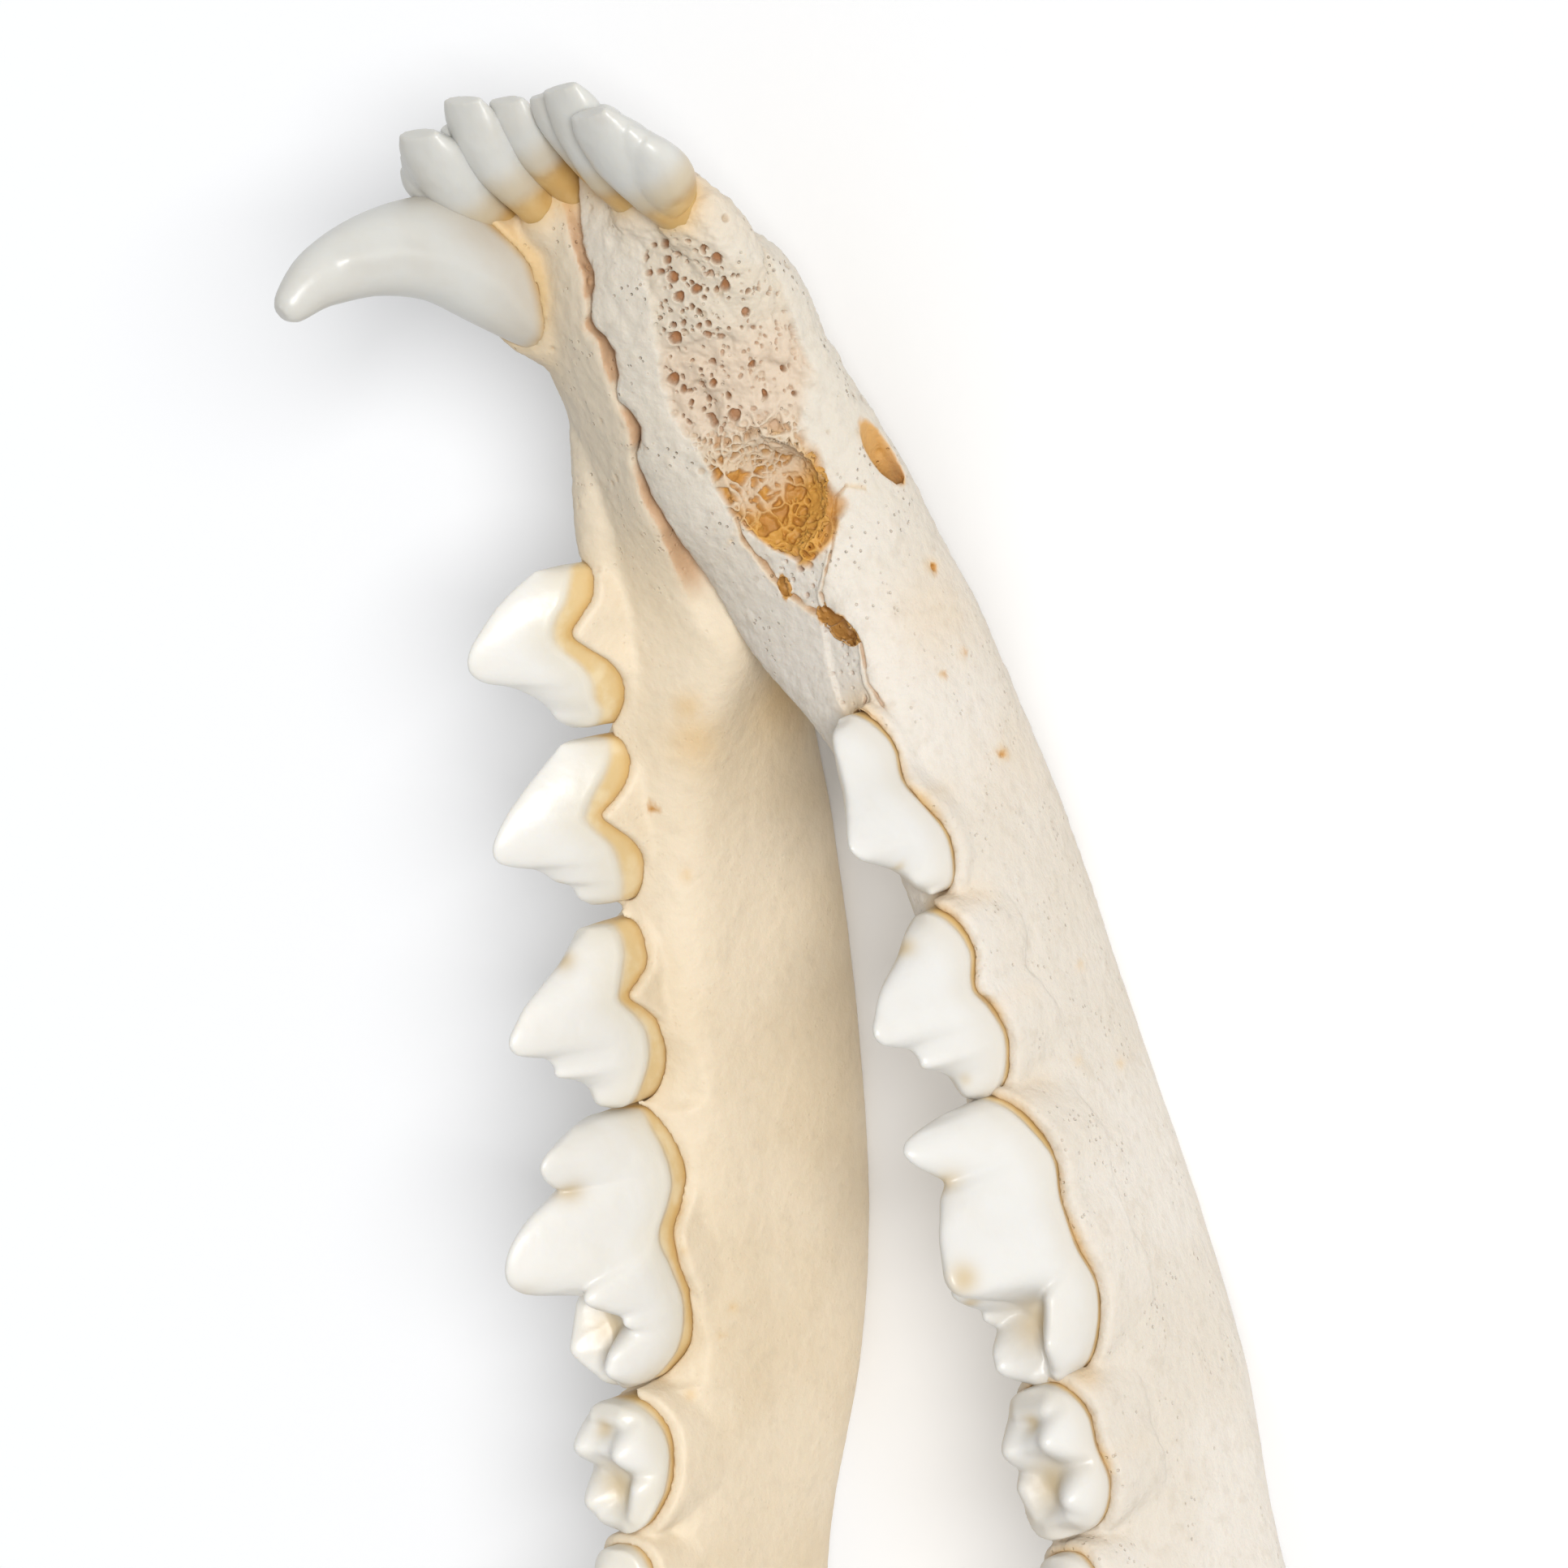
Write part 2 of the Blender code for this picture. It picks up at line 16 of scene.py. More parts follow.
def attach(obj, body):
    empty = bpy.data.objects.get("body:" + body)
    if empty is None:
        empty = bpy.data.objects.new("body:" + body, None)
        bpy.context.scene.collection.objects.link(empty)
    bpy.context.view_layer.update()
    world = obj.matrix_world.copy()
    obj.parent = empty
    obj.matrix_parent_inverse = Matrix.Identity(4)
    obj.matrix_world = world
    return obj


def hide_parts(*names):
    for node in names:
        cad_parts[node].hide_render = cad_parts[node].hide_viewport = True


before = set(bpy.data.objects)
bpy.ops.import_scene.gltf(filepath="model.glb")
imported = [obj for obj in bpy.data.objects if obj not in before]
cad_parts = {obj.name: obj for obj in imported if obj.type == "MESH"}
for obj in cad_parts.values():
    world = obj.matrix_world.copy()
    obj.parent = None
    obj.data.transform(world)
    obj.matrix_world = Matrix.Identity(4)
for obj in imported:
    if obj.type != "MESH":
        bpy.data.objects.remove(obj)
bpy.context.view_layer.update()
JAW_ORIGIN = (50.854, 0.0, 13.352)    # mm, from the animal's frame to the floor's
MM = 0.001
FINE = 1.0

# %% [markdown]
# ## The camera
# The photo looks down on the jaw from its right, 46 degrees above the floor, with the picture turned so
# that the front teeth are at the top. The camera comes first, because every later choice of detail is
# judged through it. It could be given by three angles, but two directions, to the picture's right and
# into the picture, say the same without an order of turns. They were fitted to the tips of the teeth.

# %% Camera
IMAGE_SIDE = 1932                     # pixels
CAMERA_RIGHT = Vector((-0.19800, -0.73740, -0.64578))
CAMERA_INTO = Vector((-0.15824, 0.67423, -0.72137))
CAMERA_AIM = (-33.077, 0.0, -2.755)   # mm, the point at the middle of the picture
CAMERA_FAR = 480.1                    # mm
PIXELS_PER_MM = 24.5435               # at that distance
SENSOR = 36.0                         # mm, the sensor's width


def to_floor(point):
    """A point of the animal's frame, in mm, as metres on the floor."""
    return (Vector(point) + Vector(JAW_ORIGIN)) * MM


view = bpy.data.cameras.new("camera")
view.sensor_width = SENSOR
view.lens = SENSOR * PIXELS_PER_MM * CAMERA_FAR / IMAGE_SIDE
view.clip_start = 0.01
camera = bpy.data.objects.new("camera", view)
bpy.context.scene.collection.objects.link(camera)
right = CAMERA_RIGHT.normalized()
back = (-CAMERA_INTO - right * (-CAMERA_INTO).dot(right)).normalized()
turn = Matrix((right, back.cross(right), back)).transposed().to_4x4()
camera.matrix_world = Matrix.Translation(to_floor(CAMERA_AIM) + back * CAMERA_FAR * MM) @ turn
bpy.context.scene.camera = camera
print("camera lens", round(view.lens, 1))

# %% [markdown]
# ## The lamp, the sky and the floor
# The shade in the photo is soft and lies to the picture's left of each bone. Several small lamps could
# give that, but their shadows would cross. One sun that is 20 degrees wide, a little to the right of the
# camera, throws a single soft shadow, and a bright sky fills what it leaves dark. The floor is a plain,
# pale, dull sheet, so that nothing but the jaw draws the eye.

# %% Lamp, sky and floor
LAMP_FROM = Vector((0.12, -0.71, 0.63))
LAMP_STRENGTH = 2.5
LAMP_WIDTH = math.radians(20.0)
SKY_STRENGTH = 0.52
FLOOR_SIDE = 6.0                      # m
FLOOR_COLOUR = (0.955, 0.965, 0.98, 1.0)

lamp = bpy.data.lights.new("broad_lamp", "SUN")
lamp.energy = LAMP_STRENGTH
lamp.angle = LAMP_WIDTH
lamp_holder = bpy.data.objects.new("broad_lamp", lamp)
lamp_holder.rotation_euler = LAMP_FROM.to_track_quat("Z", "Y").to_euler()
bpy.context.scene.collection.objects.link(lamp_holder)

world = bpy.data.worlds.new("pale_room")
world.use_nodes = True
sky = world.node_tree.nodes["Background"]
sky.inputs["Color"].default_value = (1.0, 1.0, 1.0, 1.0)
sky.inputs["Strength"].default_value = SKY_STRENGTH
bpy.context.scene.world = world
bpy.context.scene.view_settings.view_transform = "Standard"

bpy.ops.object.select_all(action="DESELECT")
bpy.ops.mesh.primitive_plane_add(size=FLOOR_SIDE)
floor = bpy.context.object
floor.name = "floor"
floor_paint = bpy.data.materials.new("floor_paint")
floor_paint.use_nodes = True
floor_shader = floor_paint.node_tree.nodes["Principled BSDF"]
floor_shader.inputs["Base Color"].default_value = FLOOR_COLOUR
floor_shader.inputs["Roughness"].default_value = 0.9
floor.data.materials.append(floor_paint)
print("lamp", LAMP_STRENGTH, "sky", SKY_STRENGTH, "floor side", FLOOR_SIDE)

# %% [markdown]
# ## Rolling up a form and joining forms
# A bone or a root is easiest to draw section by section. A grid primitive is rolled up through a row of
# such rings: its points are moved onto them, its two edges are merged and its ends are filled. Forms that
# overlap are then joined, as lumps of clay are pressed together.

# %% Forms
def activate(piece):
    bpy.ops.object.select_all(action="DESELECT")
    piece.select_set(True)
    bpy.context.view_layer.objects.active = piece


def rolled(name, rings):
    """A grid rolled up through closed rings of points, its two ends filled."""
    rings = np.asarray(rings, float)
    rows, sides = rings.shape[:2]
    bpy.ops.object.select_all(action="DESELECT")
    bpy.ops.mesh.primitive_grid_add(x_subdivisions=sides, y_subdivisions=rows - 1, size=1.0)
    piece = bpy.context.object
    piece.name = name
    wrapped = np.concatenate([rings, rings[:, :1]], axis=1)
    piece.data.vertices.foreach_set("co", wrapped.reshape(-1).astype(np.float32))
    bpy.ops.object.mode_set(mode="EDIT")
    bpy.ops.mesh.select_all(action="SELECT")
    bpy.ops.mesh.remove_doubles(threshold=1e-5)
    bpy.ops.mesh.fill_holes(sides=0)
    bpy.ops.mesh.quads_convert_to_tris()
    bpy.ops.mesh.normals_make_consistent(inside=False)
    bpy.ops.object.mode_set(mode="OBJECT")
    return piece


def join(pieces, name):
    bpy.ops.object.select_all(action="DESELECT")
    for piece in pieces:
        piece.select_set(True)
    bpy.context.view_layer.objects.active = pieces[0]
    if len(pieces) > 1:
        bpy.ops.object.join()
    pieces[0].name = name
    return pieces[0]


# %% [markdown]
# ## Modifiers that are applied at once
# Joined forms still have their inner walls. A voxel remesh gives them one skin, smoothing takes the steps
# off it, a boolean carves, and decimation thins out what is flat. Each modifier is applied at once, so
# that the next step can work on the finished points.

# %% Modifiers
def modify(piece, kind, **settings):
    """Add a modifier with these settings and apply it."""
    activate(piece)
    step = piece.modifiers.new(kind.lower(), kind)
    for key, value in settings.items():
        setattr(step, key, value)
    bpy.ops.object.modifier_apply(modifier=step.name)


def remesh(piece, voxel):
    modify(piece, "REMESH", mode="VOXEL", voxel_size=voxel * FINE)


def smooth(piece, times):
    modify(piece, "SMOOTH", factor=0.5, iterations=times)


def carve(piece, cutter):
    """Cut the cutter out of the piece, and remove the cutter."""
    modify(piece, "BOOLEAN", operation="DIFFERENCE", object=cutter, solver="MANIFOLD")
    bpy.data.objects.remove(cutter, do_unlink=True)


def triangle_count(piece):
    return sum(len(face.vertices) - 2 for face in piece.data.polygons)


def thin_out(piece, most, group=""):
    """Collapse the flattest places, or only those of the group, until this many triangles are left."""
    count = triangle_count(piece)
    if count > most:
        modify(piece, "DECIMATE", ratio=most / count, vertex_group=group)


# %% Points of a mesh as arrays
def points(piece):
    flat = np.empty(len(piece.data.vertices) * 3, np.float32)
    piece.data.vertices.foreach_get("co", flat)
    return flat.reshape(-1, 3).astype(float)


def normals(piece):
    flat = np.empty(len(piece.data.vertices) * 3, np.float32)
    piece.data.vertex_normals.foreach_get("vector", flat)
    return flat.reshape(-1, 3).astype(float)


def move_points(piece, places):
    piece.data.vertices.foreach_set("co", places.reshape(-1).astype(np.float32))
    piece.data.update()


def paint(piece, name, values):
    """Store one number a point, for the material to read."""
    layer = piece.data.attributes.get(name) or piece.data.attributes.new(name, "FLOAT", "POINT")
    layer.data.foreach_set("value", np.clip(values, 0, 1).astype(np.float32))


# %% [markdown]
# ## Noise in code
# Real bone has relief at many scales: slow swells, a rough grain and open pores. A displacement modifier
# could give the swells, but here the same noise also has to colour the pits that it makes, so it is
# worked out in code and kept as numbers. Both kinds come from a fixed hash, so that every run gives the
# same jaw. One is a smooth random field. The other scatters points and measures how near the closest two
# are, which makes pits and cells.

# %% Smooth noise
NOISE_SHIFT = 1000.0                  # keeps every place's whole number above 0


def hashed(ix, iy, iz, seed):
    """A number from 0 to 1 for each whole-numbered place."""
    n = ix.astype(np.uint32) * np.uint32(73856093)
    n ^= iy.astype(np.uint32) * np.uint32(19349663)
    n ^= iz.astype(np.uint32) * np.uint32(83492791)
    n ^= np.uint32(seed * 2654435761 % 4294967296)
    n ^= n >> np.uint32(13)
    n *= np.uint32(1540483477)
    n ^= n >> np.uint32(15)
    n *= np.uint32(668265263)
    n ^= n >> np.uint32(16)
    return n.astype(float) / 4294967296.0


def field(places, size, seed):
    """Smooth noise from -1 to 1 whose lumps are about size across."""
    p = places / size + NOISE_SHIFT
    base = np.floor(p).astype(np.int64)
    k = p - base
    k = k * k * (3 - 2 * k)
    total = np.zeros(len(places))
    for dx in (0, 1):
        for dy in (0, 1):
            for dz in (0, 1):
                weight = (k[:, 0] if dx else 1 - k[:, 0]) * (k[:, 1] if dy else 1 - k[:, 1])
                weight = weight * (k[:, 2] if dz else 1 - k[:, 2])
                total += weight * hashed(base[:, 0] + dx, base[:, 1] + dy, base[:, 2] + dz, seed)
    return total * 2 - 1


def rough(places, size, seed, octaves=3):
    """Smooth noise with finer copies of itself added."""
    total, share = np.zeros(len(places)), 1.0
    for i in range(octaves):
        total += share * field(places, size / 2**i, seed + i)
        share *= 0.5
    return total / (2 - 2 * share)


# %% Scattered points
def cells(places, size, seed):
    """Distance to the nearest and second nearest scattered point, and the nearest one's own number."""
    p = places / size + NOISE_SHIFT
    base = np.floor(p).astype(np.int64)
    first = np.full(len(places), 9.0)
    second = np.full(len(places), 9.0)
    own = np.zeros(len(places))
    for dx in (-1, 0, 1):
        for dy in (-1, 0, 1):
            for dz in (-1, 0, 1):
                ix, iy, iz = base[:, 0] + dx, base[:, 1] + dy, base[:, 2] + dz
                far = (ix + hashed(ix, iy, iz, seed) - p[:, 0]) ** 2
                far += (iy + hashed(ix, iy, iz, seed + 1) - p[:, 1]) ** 2
                far += (iz + hashed(ix, iy, iz, seed + 2) - p[:, 2]) ** 2
                far = np.sqrt(far)
                nearer = far < first
                second = np.where(nearer, first, np.minimum(second, far))
                own = np.where(nearer, hashed(ix, iy, iz, seed + 3), own)
                first = np.where(nearer, far, first)
    return first * size, second * size, own


# %% [markdown]
# ## Steps, curves and swept forms
# Most shapes below are short tables of measured sections. One function draws a smooth curve through the
# rows of such a table, and a smooth step blends one thing into another. A swept form is an oval whose
# place and size follow a table, like a rope of clay that is thick in one place and thin in another.

# %% Steps, curves and swept forms
def ramp(low, high, values):
    """0 below low, 1 above high and a smooth step between."""
    k = np.clip((values - low) / (high - low), 0, 1)
    return k * k * (3 - 2 * k)


def curve(rows, at):
    """Values of the rows at places along their first column, on a curve through every row."""
    rows = np.asarray(rows, float)
    if rows[0, 0] > rows[-1, 0]:
        rows = rows[::-1]
    keys = rows[:, 0]
    at = np.atleast_1d(np.asarray(at, float))
    i = np.clip(np.searchsorted(keys, at) - 1, 0, len(keys) - 2)
    before, after = np.maximum(i - 1, 0), np.minimum(i + 2, len(keys) - 1)
    step = (keys[i + 1] - keys[i])[:, None]
    k = np.clip((at - keys[i]) / (keys[i + 1] - keys[i]), 0, 1)[:, None]
    a, b = rows[i, 1:], rows[i + 1, 1:]
    slope_a = (b - rows[before, 1:]) / (keys[i + 1] - keys[before])[:, None] * step
    slope_b = (rows[after, 1:] - a) / (keys[after] - keys[i])[:, None] * step
    return (a * (2 * k**3 - 3 * k**2 + 1) + slope_a * (k**3 - 2 * k**2 + k)
            + b * (3 * k**2 - 2 * k**3) + slope_b * (k**3 - k**2))


def swept(name, line, rows, sides, grow=0.0):
    """Oval sections along a smooth line: x, y, z, half height and half width across Y."""
    stations = np.column_stack([np.arange(len(line)), np.asarray(line, float)])
    at = np.linspace(0, len(line) - 1, rows)
    middle = curve(stations, at)
    ahead, behind = np.minimum(at + 0.05, len(line) - 1), np.maximum(at - 0.05, 0)
    heading = curve(stations, ahead) - curve(stations, behind)
    heading = heading[:, :3] / np.linalg.norm(heading[:, :3], axis=1)[:, None]
    across = np.array([0.0, 1.0, 0.0]) - heading * heading[:, 1:2]
    across /= np.linalg.norm(across, axis=1)[:, None]
    other = np.cross(across, heading)
    angle = np.linspace(0, math.tau, sides, endpoint=False)
    rings = (middle[:, None, :3]
             + other[:, None] * (middle[:, None, 3:4] + grow) * np.cos(angle)[None, :, None]
             + across[:, None] * (middle[:, None, 4:5] + grow) * np.sin(angle)[None, :, None])
    return rolled(name, rings)


# %% [markdown]
# ## The body of each jaw bone
# A jaw bone is a curved bar: deep and thin behind, low and broad at the chin. It could be sculpted from
# one block, but its sections are known, so it is drawn from front to back as rounded boxes between the
# lower border and the tooth sockets. The table has the same sections as the solid.

# %% Sections of the body
BODY_STATIONS = (     # x, top: y, z, outer half, inner half, slope, lower border: y, z, outer, inner half
    (1.4, 2.1, 2.4, 1.4, 3.5, 0, 1.9, 0.9, 1.0, 3.0),
    (-2.8, 3.3, 3.0, 3.3, 6.0, -8, 2.8, -1.9, 2.5, 5.0),
    (-8.0, 4.0, 2.9, 4.4, 6.5, -17, 3.7, -4.8, 3.1, 5.5),
    (-13.0, 4.4, 1.6, 4.3, 6.5, -23, 4.0, -7.0, 3.5, 5.5),
    (-18.0, 5.2, 0.4, 3.7, 7.0, -23, 4.4, -9.2, 3.7, 5.5),
    (-22.0, 6.6, -0.3, 3.0, 7.6, -10, 5.0, -10.4, 3.4, 4.6),
    (-26.0, 7.8, -0.6, 2.6, 8.3, -2, 6.1, -11.4, 3.0, 3.4),
    (-31.0, 9.1, -0.6, 2.5, 5.4, 0, 7.0, -12.2, 2.7, 3.1),
    (-38.0, 10.6, -0.9, 2.6, 3.8, 0, 8.0, -13.2, 2.6, 3.2),
    (-48.0, 12.2, -0.2, 2.9, 3.6, 0, 9.4, -13.6, 2.6, 3.3),
    (-58.0, 13.9, 0.5, 3.3, 3.5, 0, 11.2, -13.6, 2.6, 3.2),
    (-66.0, 14.5, 1.9, 3.0, 3.1, 0, 13.1, -12.7, 2.6, 3.0),
    (-74.0, 15.5, 3.1, 2.3, 2.5, 0, 15.0, -10.4, 2.5, 2.5),
    (-83.0, 17.4, 2.6, 1.6, 1.6, 0, 17.0, -9.4, 2.0, 2.0),
    (-93.0, 19.4, 2.0, 1.2, 1.2, 0, 19.0, -7.4, 1.5, 1.5),
)
BODY_FRONT, BODY_BACK = BODY_STATIONS[0][0], BODY_STATIONS[-1][0]
BODY_RINGS, BODY_SIDES = 240, 96
INNER_CORNER = 0.36                   # squares the upper inner edge: 1 is round, less is squarer
print("body sections", len(BODY_STATIONS), "from", BODY_FRONT, "to", BODY_BACK)

# %% [markdown]
# ## The seam at the chin
# At the chin the two bones meet in a seam that wanders and gapes. Each bone could have its own rough
# wall, but then the gap would be chance. So both inner walls follow one wavy line, which says at each
# place how far the gap has strayed to the left and how wide it is. Deeper down the walls close up.

# %% Chin seam
SEAM_LINE = (         # front to back: x, how far it wanders to the left, and how wide it gapes on top
    (1.8, 1.0, 1.4), (-0.5, 1.0, 1.4), (-2.2, 0.8, 1.1), (-3.4, 0.65, 0.8), (-4.6, 0.45, 0.6),
    (-5.6, 0.25, 0.5), (-6.3, 0.35, 0.7), (-6.9, 0.45, 0.12), (-7.5, 0.6, 0.2), (-8.1, 0.85, 0.75),
    (-8.7, 0.3, 0.5), (-9.6, 0.0, 0.75), (-10.6, 0.15, 0.8), (-11.2, 0.45, 0.15), (-12.0, 0.75, 0.05),
    (-12.7, 0.3, 0.5), (-13.3, 0.1, 0.8), (-14.0, 0.2, 0.6), (-14.7, 0.8, 0.12), (-15.6, 1.0, 0.3),
    (-16.8, 0.95, 0.45), (-18.0, 0.75, 0.5), (-19.1, 0.65, 0.65), (-20.3, 0.8, 0.75), (-21.4, 1.0, 0.9),
    (-22.4, 1.0, 1.1), (-24.0, 0.8, 1.6), (-26.0, 0.5, 1.6),
)


def seam_wall(x, z, side):
    """How far from the middle plane a bone's inner wall stays, on its own side."""
    wander, gape = curve(SEAM_LINE, x).T
    top_z = curve(BODY_STATIONS, x)[:, 1] + 0.4
    deep = ramp(0.5, 1.6, top_z - z)
    place = np.column_stack([x, np.zeros_like(x), z])
    jagged = field(place, 0.9, 11) * 0.16 + field(place, 0.4, 12) * 0.12 + field(place, 0.2, 13) * 0.05
    wander = wander * (1 - deep) + jagged + deep * field(place, 2.2, 14) * 0.2
    gape = gape * (0.8 - 0.76 * deep)
    return side * wander + gape / 2


def body_rings(side):
    """Sections from front to back. Their inner wall stays on its own side of the seam."""
    share = np.linspace(0, 1, BODY_RINGS)
    x = BODY_FRONT + (BODY_BACK - BODY_FRONT) * share**1.1
    measures = curve(BODY_STATIONS, x).T[:, :, None]
    top_y, top_z, top_out, top_in, slope, low_y, low_z, low_out, low_in = measures
    angle = np.linspace(0, math.tau, BODY_SIDES, endpoint=False)[None]
    cos, sin = np.cos(angle), np.sin(angle)
    across = np.sign(cos) * np.abs(cos) ** 0.8
    corner = np.where((across < 0) & (sin > 0), INNER_CORNER, 0.85)
    up = np.sign(sin) * np.abs(sin) ** corner
    lift = (up + 1) / 2
    low_half, top_half = np.where(across > 0, low_out, low_in), np.where(across > 0, top_out, top_in)
    half = low_half + (top_half - low_half) * lift
    tilt = np.radians(slope) * lift
    y = low_y + (top_y - low_y) * lift + half * across * np.cos(tilt)
    z = low_z + (top_z - low_z) * lift + half * across * np.sin(tilt)
    along = np.repeat(x[:, None], BODY_SIDES, axis=1)
    wall = seam_wall(along.ravel(), z.ravel(), side).reshape(z.shape)
    return np.stack([along, np.maximum(y, wall), z], axis=2)


# %% [markdown]
# ## The upright branch, the joint and the hook
# Behind the teeth the bone rises as a thin plate for the jaw muscles, with a thick front edge and a
# hollow outer face. Below it are the joint, a bar that lies across, on a short stalk, and a hook. The
# photo stops before them, so they follow the species. The plate could be a bent sheet, but level
# sections give its thick edge and hollow face in one go. The others are swept along short lines.

# %% Plate, stalk and hook
RAMUS_STATIONS = (      # z, front edge x, back edge x, half thickness at the front ridge
    (-7.5, -79.0, -97.0, 1.3), (-2.0, -75.0, -99.5, 1.7), (4.0, -76.6, -99.0, 1.9),
    (10.0, -80.0, -95.8, 1.8), (16.0, -83.6, -96.2, 1.6), (22.0, -87.4, -98.4, 1.3),
    (25.4, -90.2, -98.8, 1.1), (27.2, -92.8, -96.4, 0.8),
)
RAMUS_LOW, RAMUS_HIGH = RAMUS_STATIONS[0][0], RAMUS_STATIONS[-1][0]
RAMUS_RINGS, RAMUS_SIDES = 90, 96
RAMUS_FRONT, RAMUS_MIDDLE_Y = -75.0, 15.9     # mm, where the plate's middle line starts
RAMUS_FLARE, RAMUS_LEAN = 0.19, 0.07          # how much it goes outward toward the back and the top
RAMUS_INNER = 0.9                             # mm, half thickness of its flat inner side
HOOK_LINE = (
    (-86.0, 17.6, -5.6, 3.4, 1.5), (-93.0, 19.0, -6.0, 3.0, 1.6), (-99.0, 20.0, -5.8, 2.3, 1.5),
    (-103.5, 20.6, -4.6, 1.5, 1.3), (-106.0, 20.9, -3.0, 0.8, 0.8),
)
STALK_LINE = (
    (-90.0, 18.6, -0.4, 5.6, 1.2), (-96.5, 20.1, 1.0, 4.2, 1.6), (-100.0, 21.0, 2.4, 2.9, 2.1),
    (-102.2, 21.8, 3.4, 2.2, 2.8),
)
JOINT_CENTRE, JOINT_HALF, JOINT_YAW = (-103.0, 22.4, 3.9), (2.3, 6.5, 2.5), math.radians(-8)
SWELLING_LINE = (
    (-15.6, 4.6, -4.4, 1.2, 1.6), (-12.4, 4.9, -3.2, 2.6, 2.6), (-9.2, 5.2, -1.9, 3.0, 2.8),
    (-7.2, 5.3, -0.9, 2.7, 2.6), (-6.2, 5.4, -0.2, 2.1, 2.1),
)


def ramus_rings():
    """Level sections of the plate, from its root up to its tip."""
    z = np.linspace(RAMUS_LOW, RAMUS_HIGH, RAMUS_RINGS)
    front, back_x, ridge = curve(RAMUS_STATIONS, z).T[:, :, None]
    angle = np.linspace(0, math.tau, RAMUS_SIDES, endpoint=False)[None]
    share = (1 - np.cos(angle)) / 2
    x = front + (back_x - front) * share
    middle = RAMUS_MIDDLE_Y + RAMUS_FLARE * (RAMUS_FRONT - x) + RAMUS_LEAN * z[:, None]
    edge = np.abs(np.sin(angle)) ** 0.6
    outer = ridge * (0.35 + 0.65 * np.exp(-((share - 0.12) / 0.16) ** 2) + 0.12 * share)
    y = middle + edge * np.where(np.sin(angle) > 0, outer, -RAMUS_INNER)
    return np.stack([x, y, np.repeat(z[:, None], RAMUS_SIDES, axis=1)], axis=2)


def joint_bar():
    """The joint: a ball primitive drawn out sideways and squared off a little at its ends."""
    bpy.ops.object.select_all(action="DESELECT")
    bpy.ops.mesh.primitive_uv_sphere_add(segments=48, ring_count=32, radius=1.0)
    bar = bpy.context.object
    p = points(bar)
    p[:, 1] = np.sign(p[:, 1]) * np.abs(p[:, 1]) ** 0.8
    p *= JOINT_HALF
    p[:, 2] += 0.5 * (1 - (p[:, 1] / JOINT_HALF[1]) ** 2)
    c, s = math.cos(JOINT_YAW), math.sin(JOINT_YAW)
    p[:, :2] = p[:, :2] @ np.array([[c, s], [-s, c]])
    move_points(bar, p + JOINT_CENTRE)
    return bar


print("plate height", round(RAMUS_HIGH - RAMUS_LOW, 1), "mm, joint at", JOINT_CENTRE)

# %% [markdown]
# ## Sizes of the teeth
# A fox's cheek tooth is a crown of sharp cusps on two roots. Seen from the side its cutting edge is one
# line, steep in front and stepped behind. The enamel ends in a wavy line that arches up between the
# roots, and the bone's rim follows it, with a strip of yellow root between. Each tooth could be sculpted
# by hand. Tables of measured lines are easier to compare with the photo and to mend one by one.

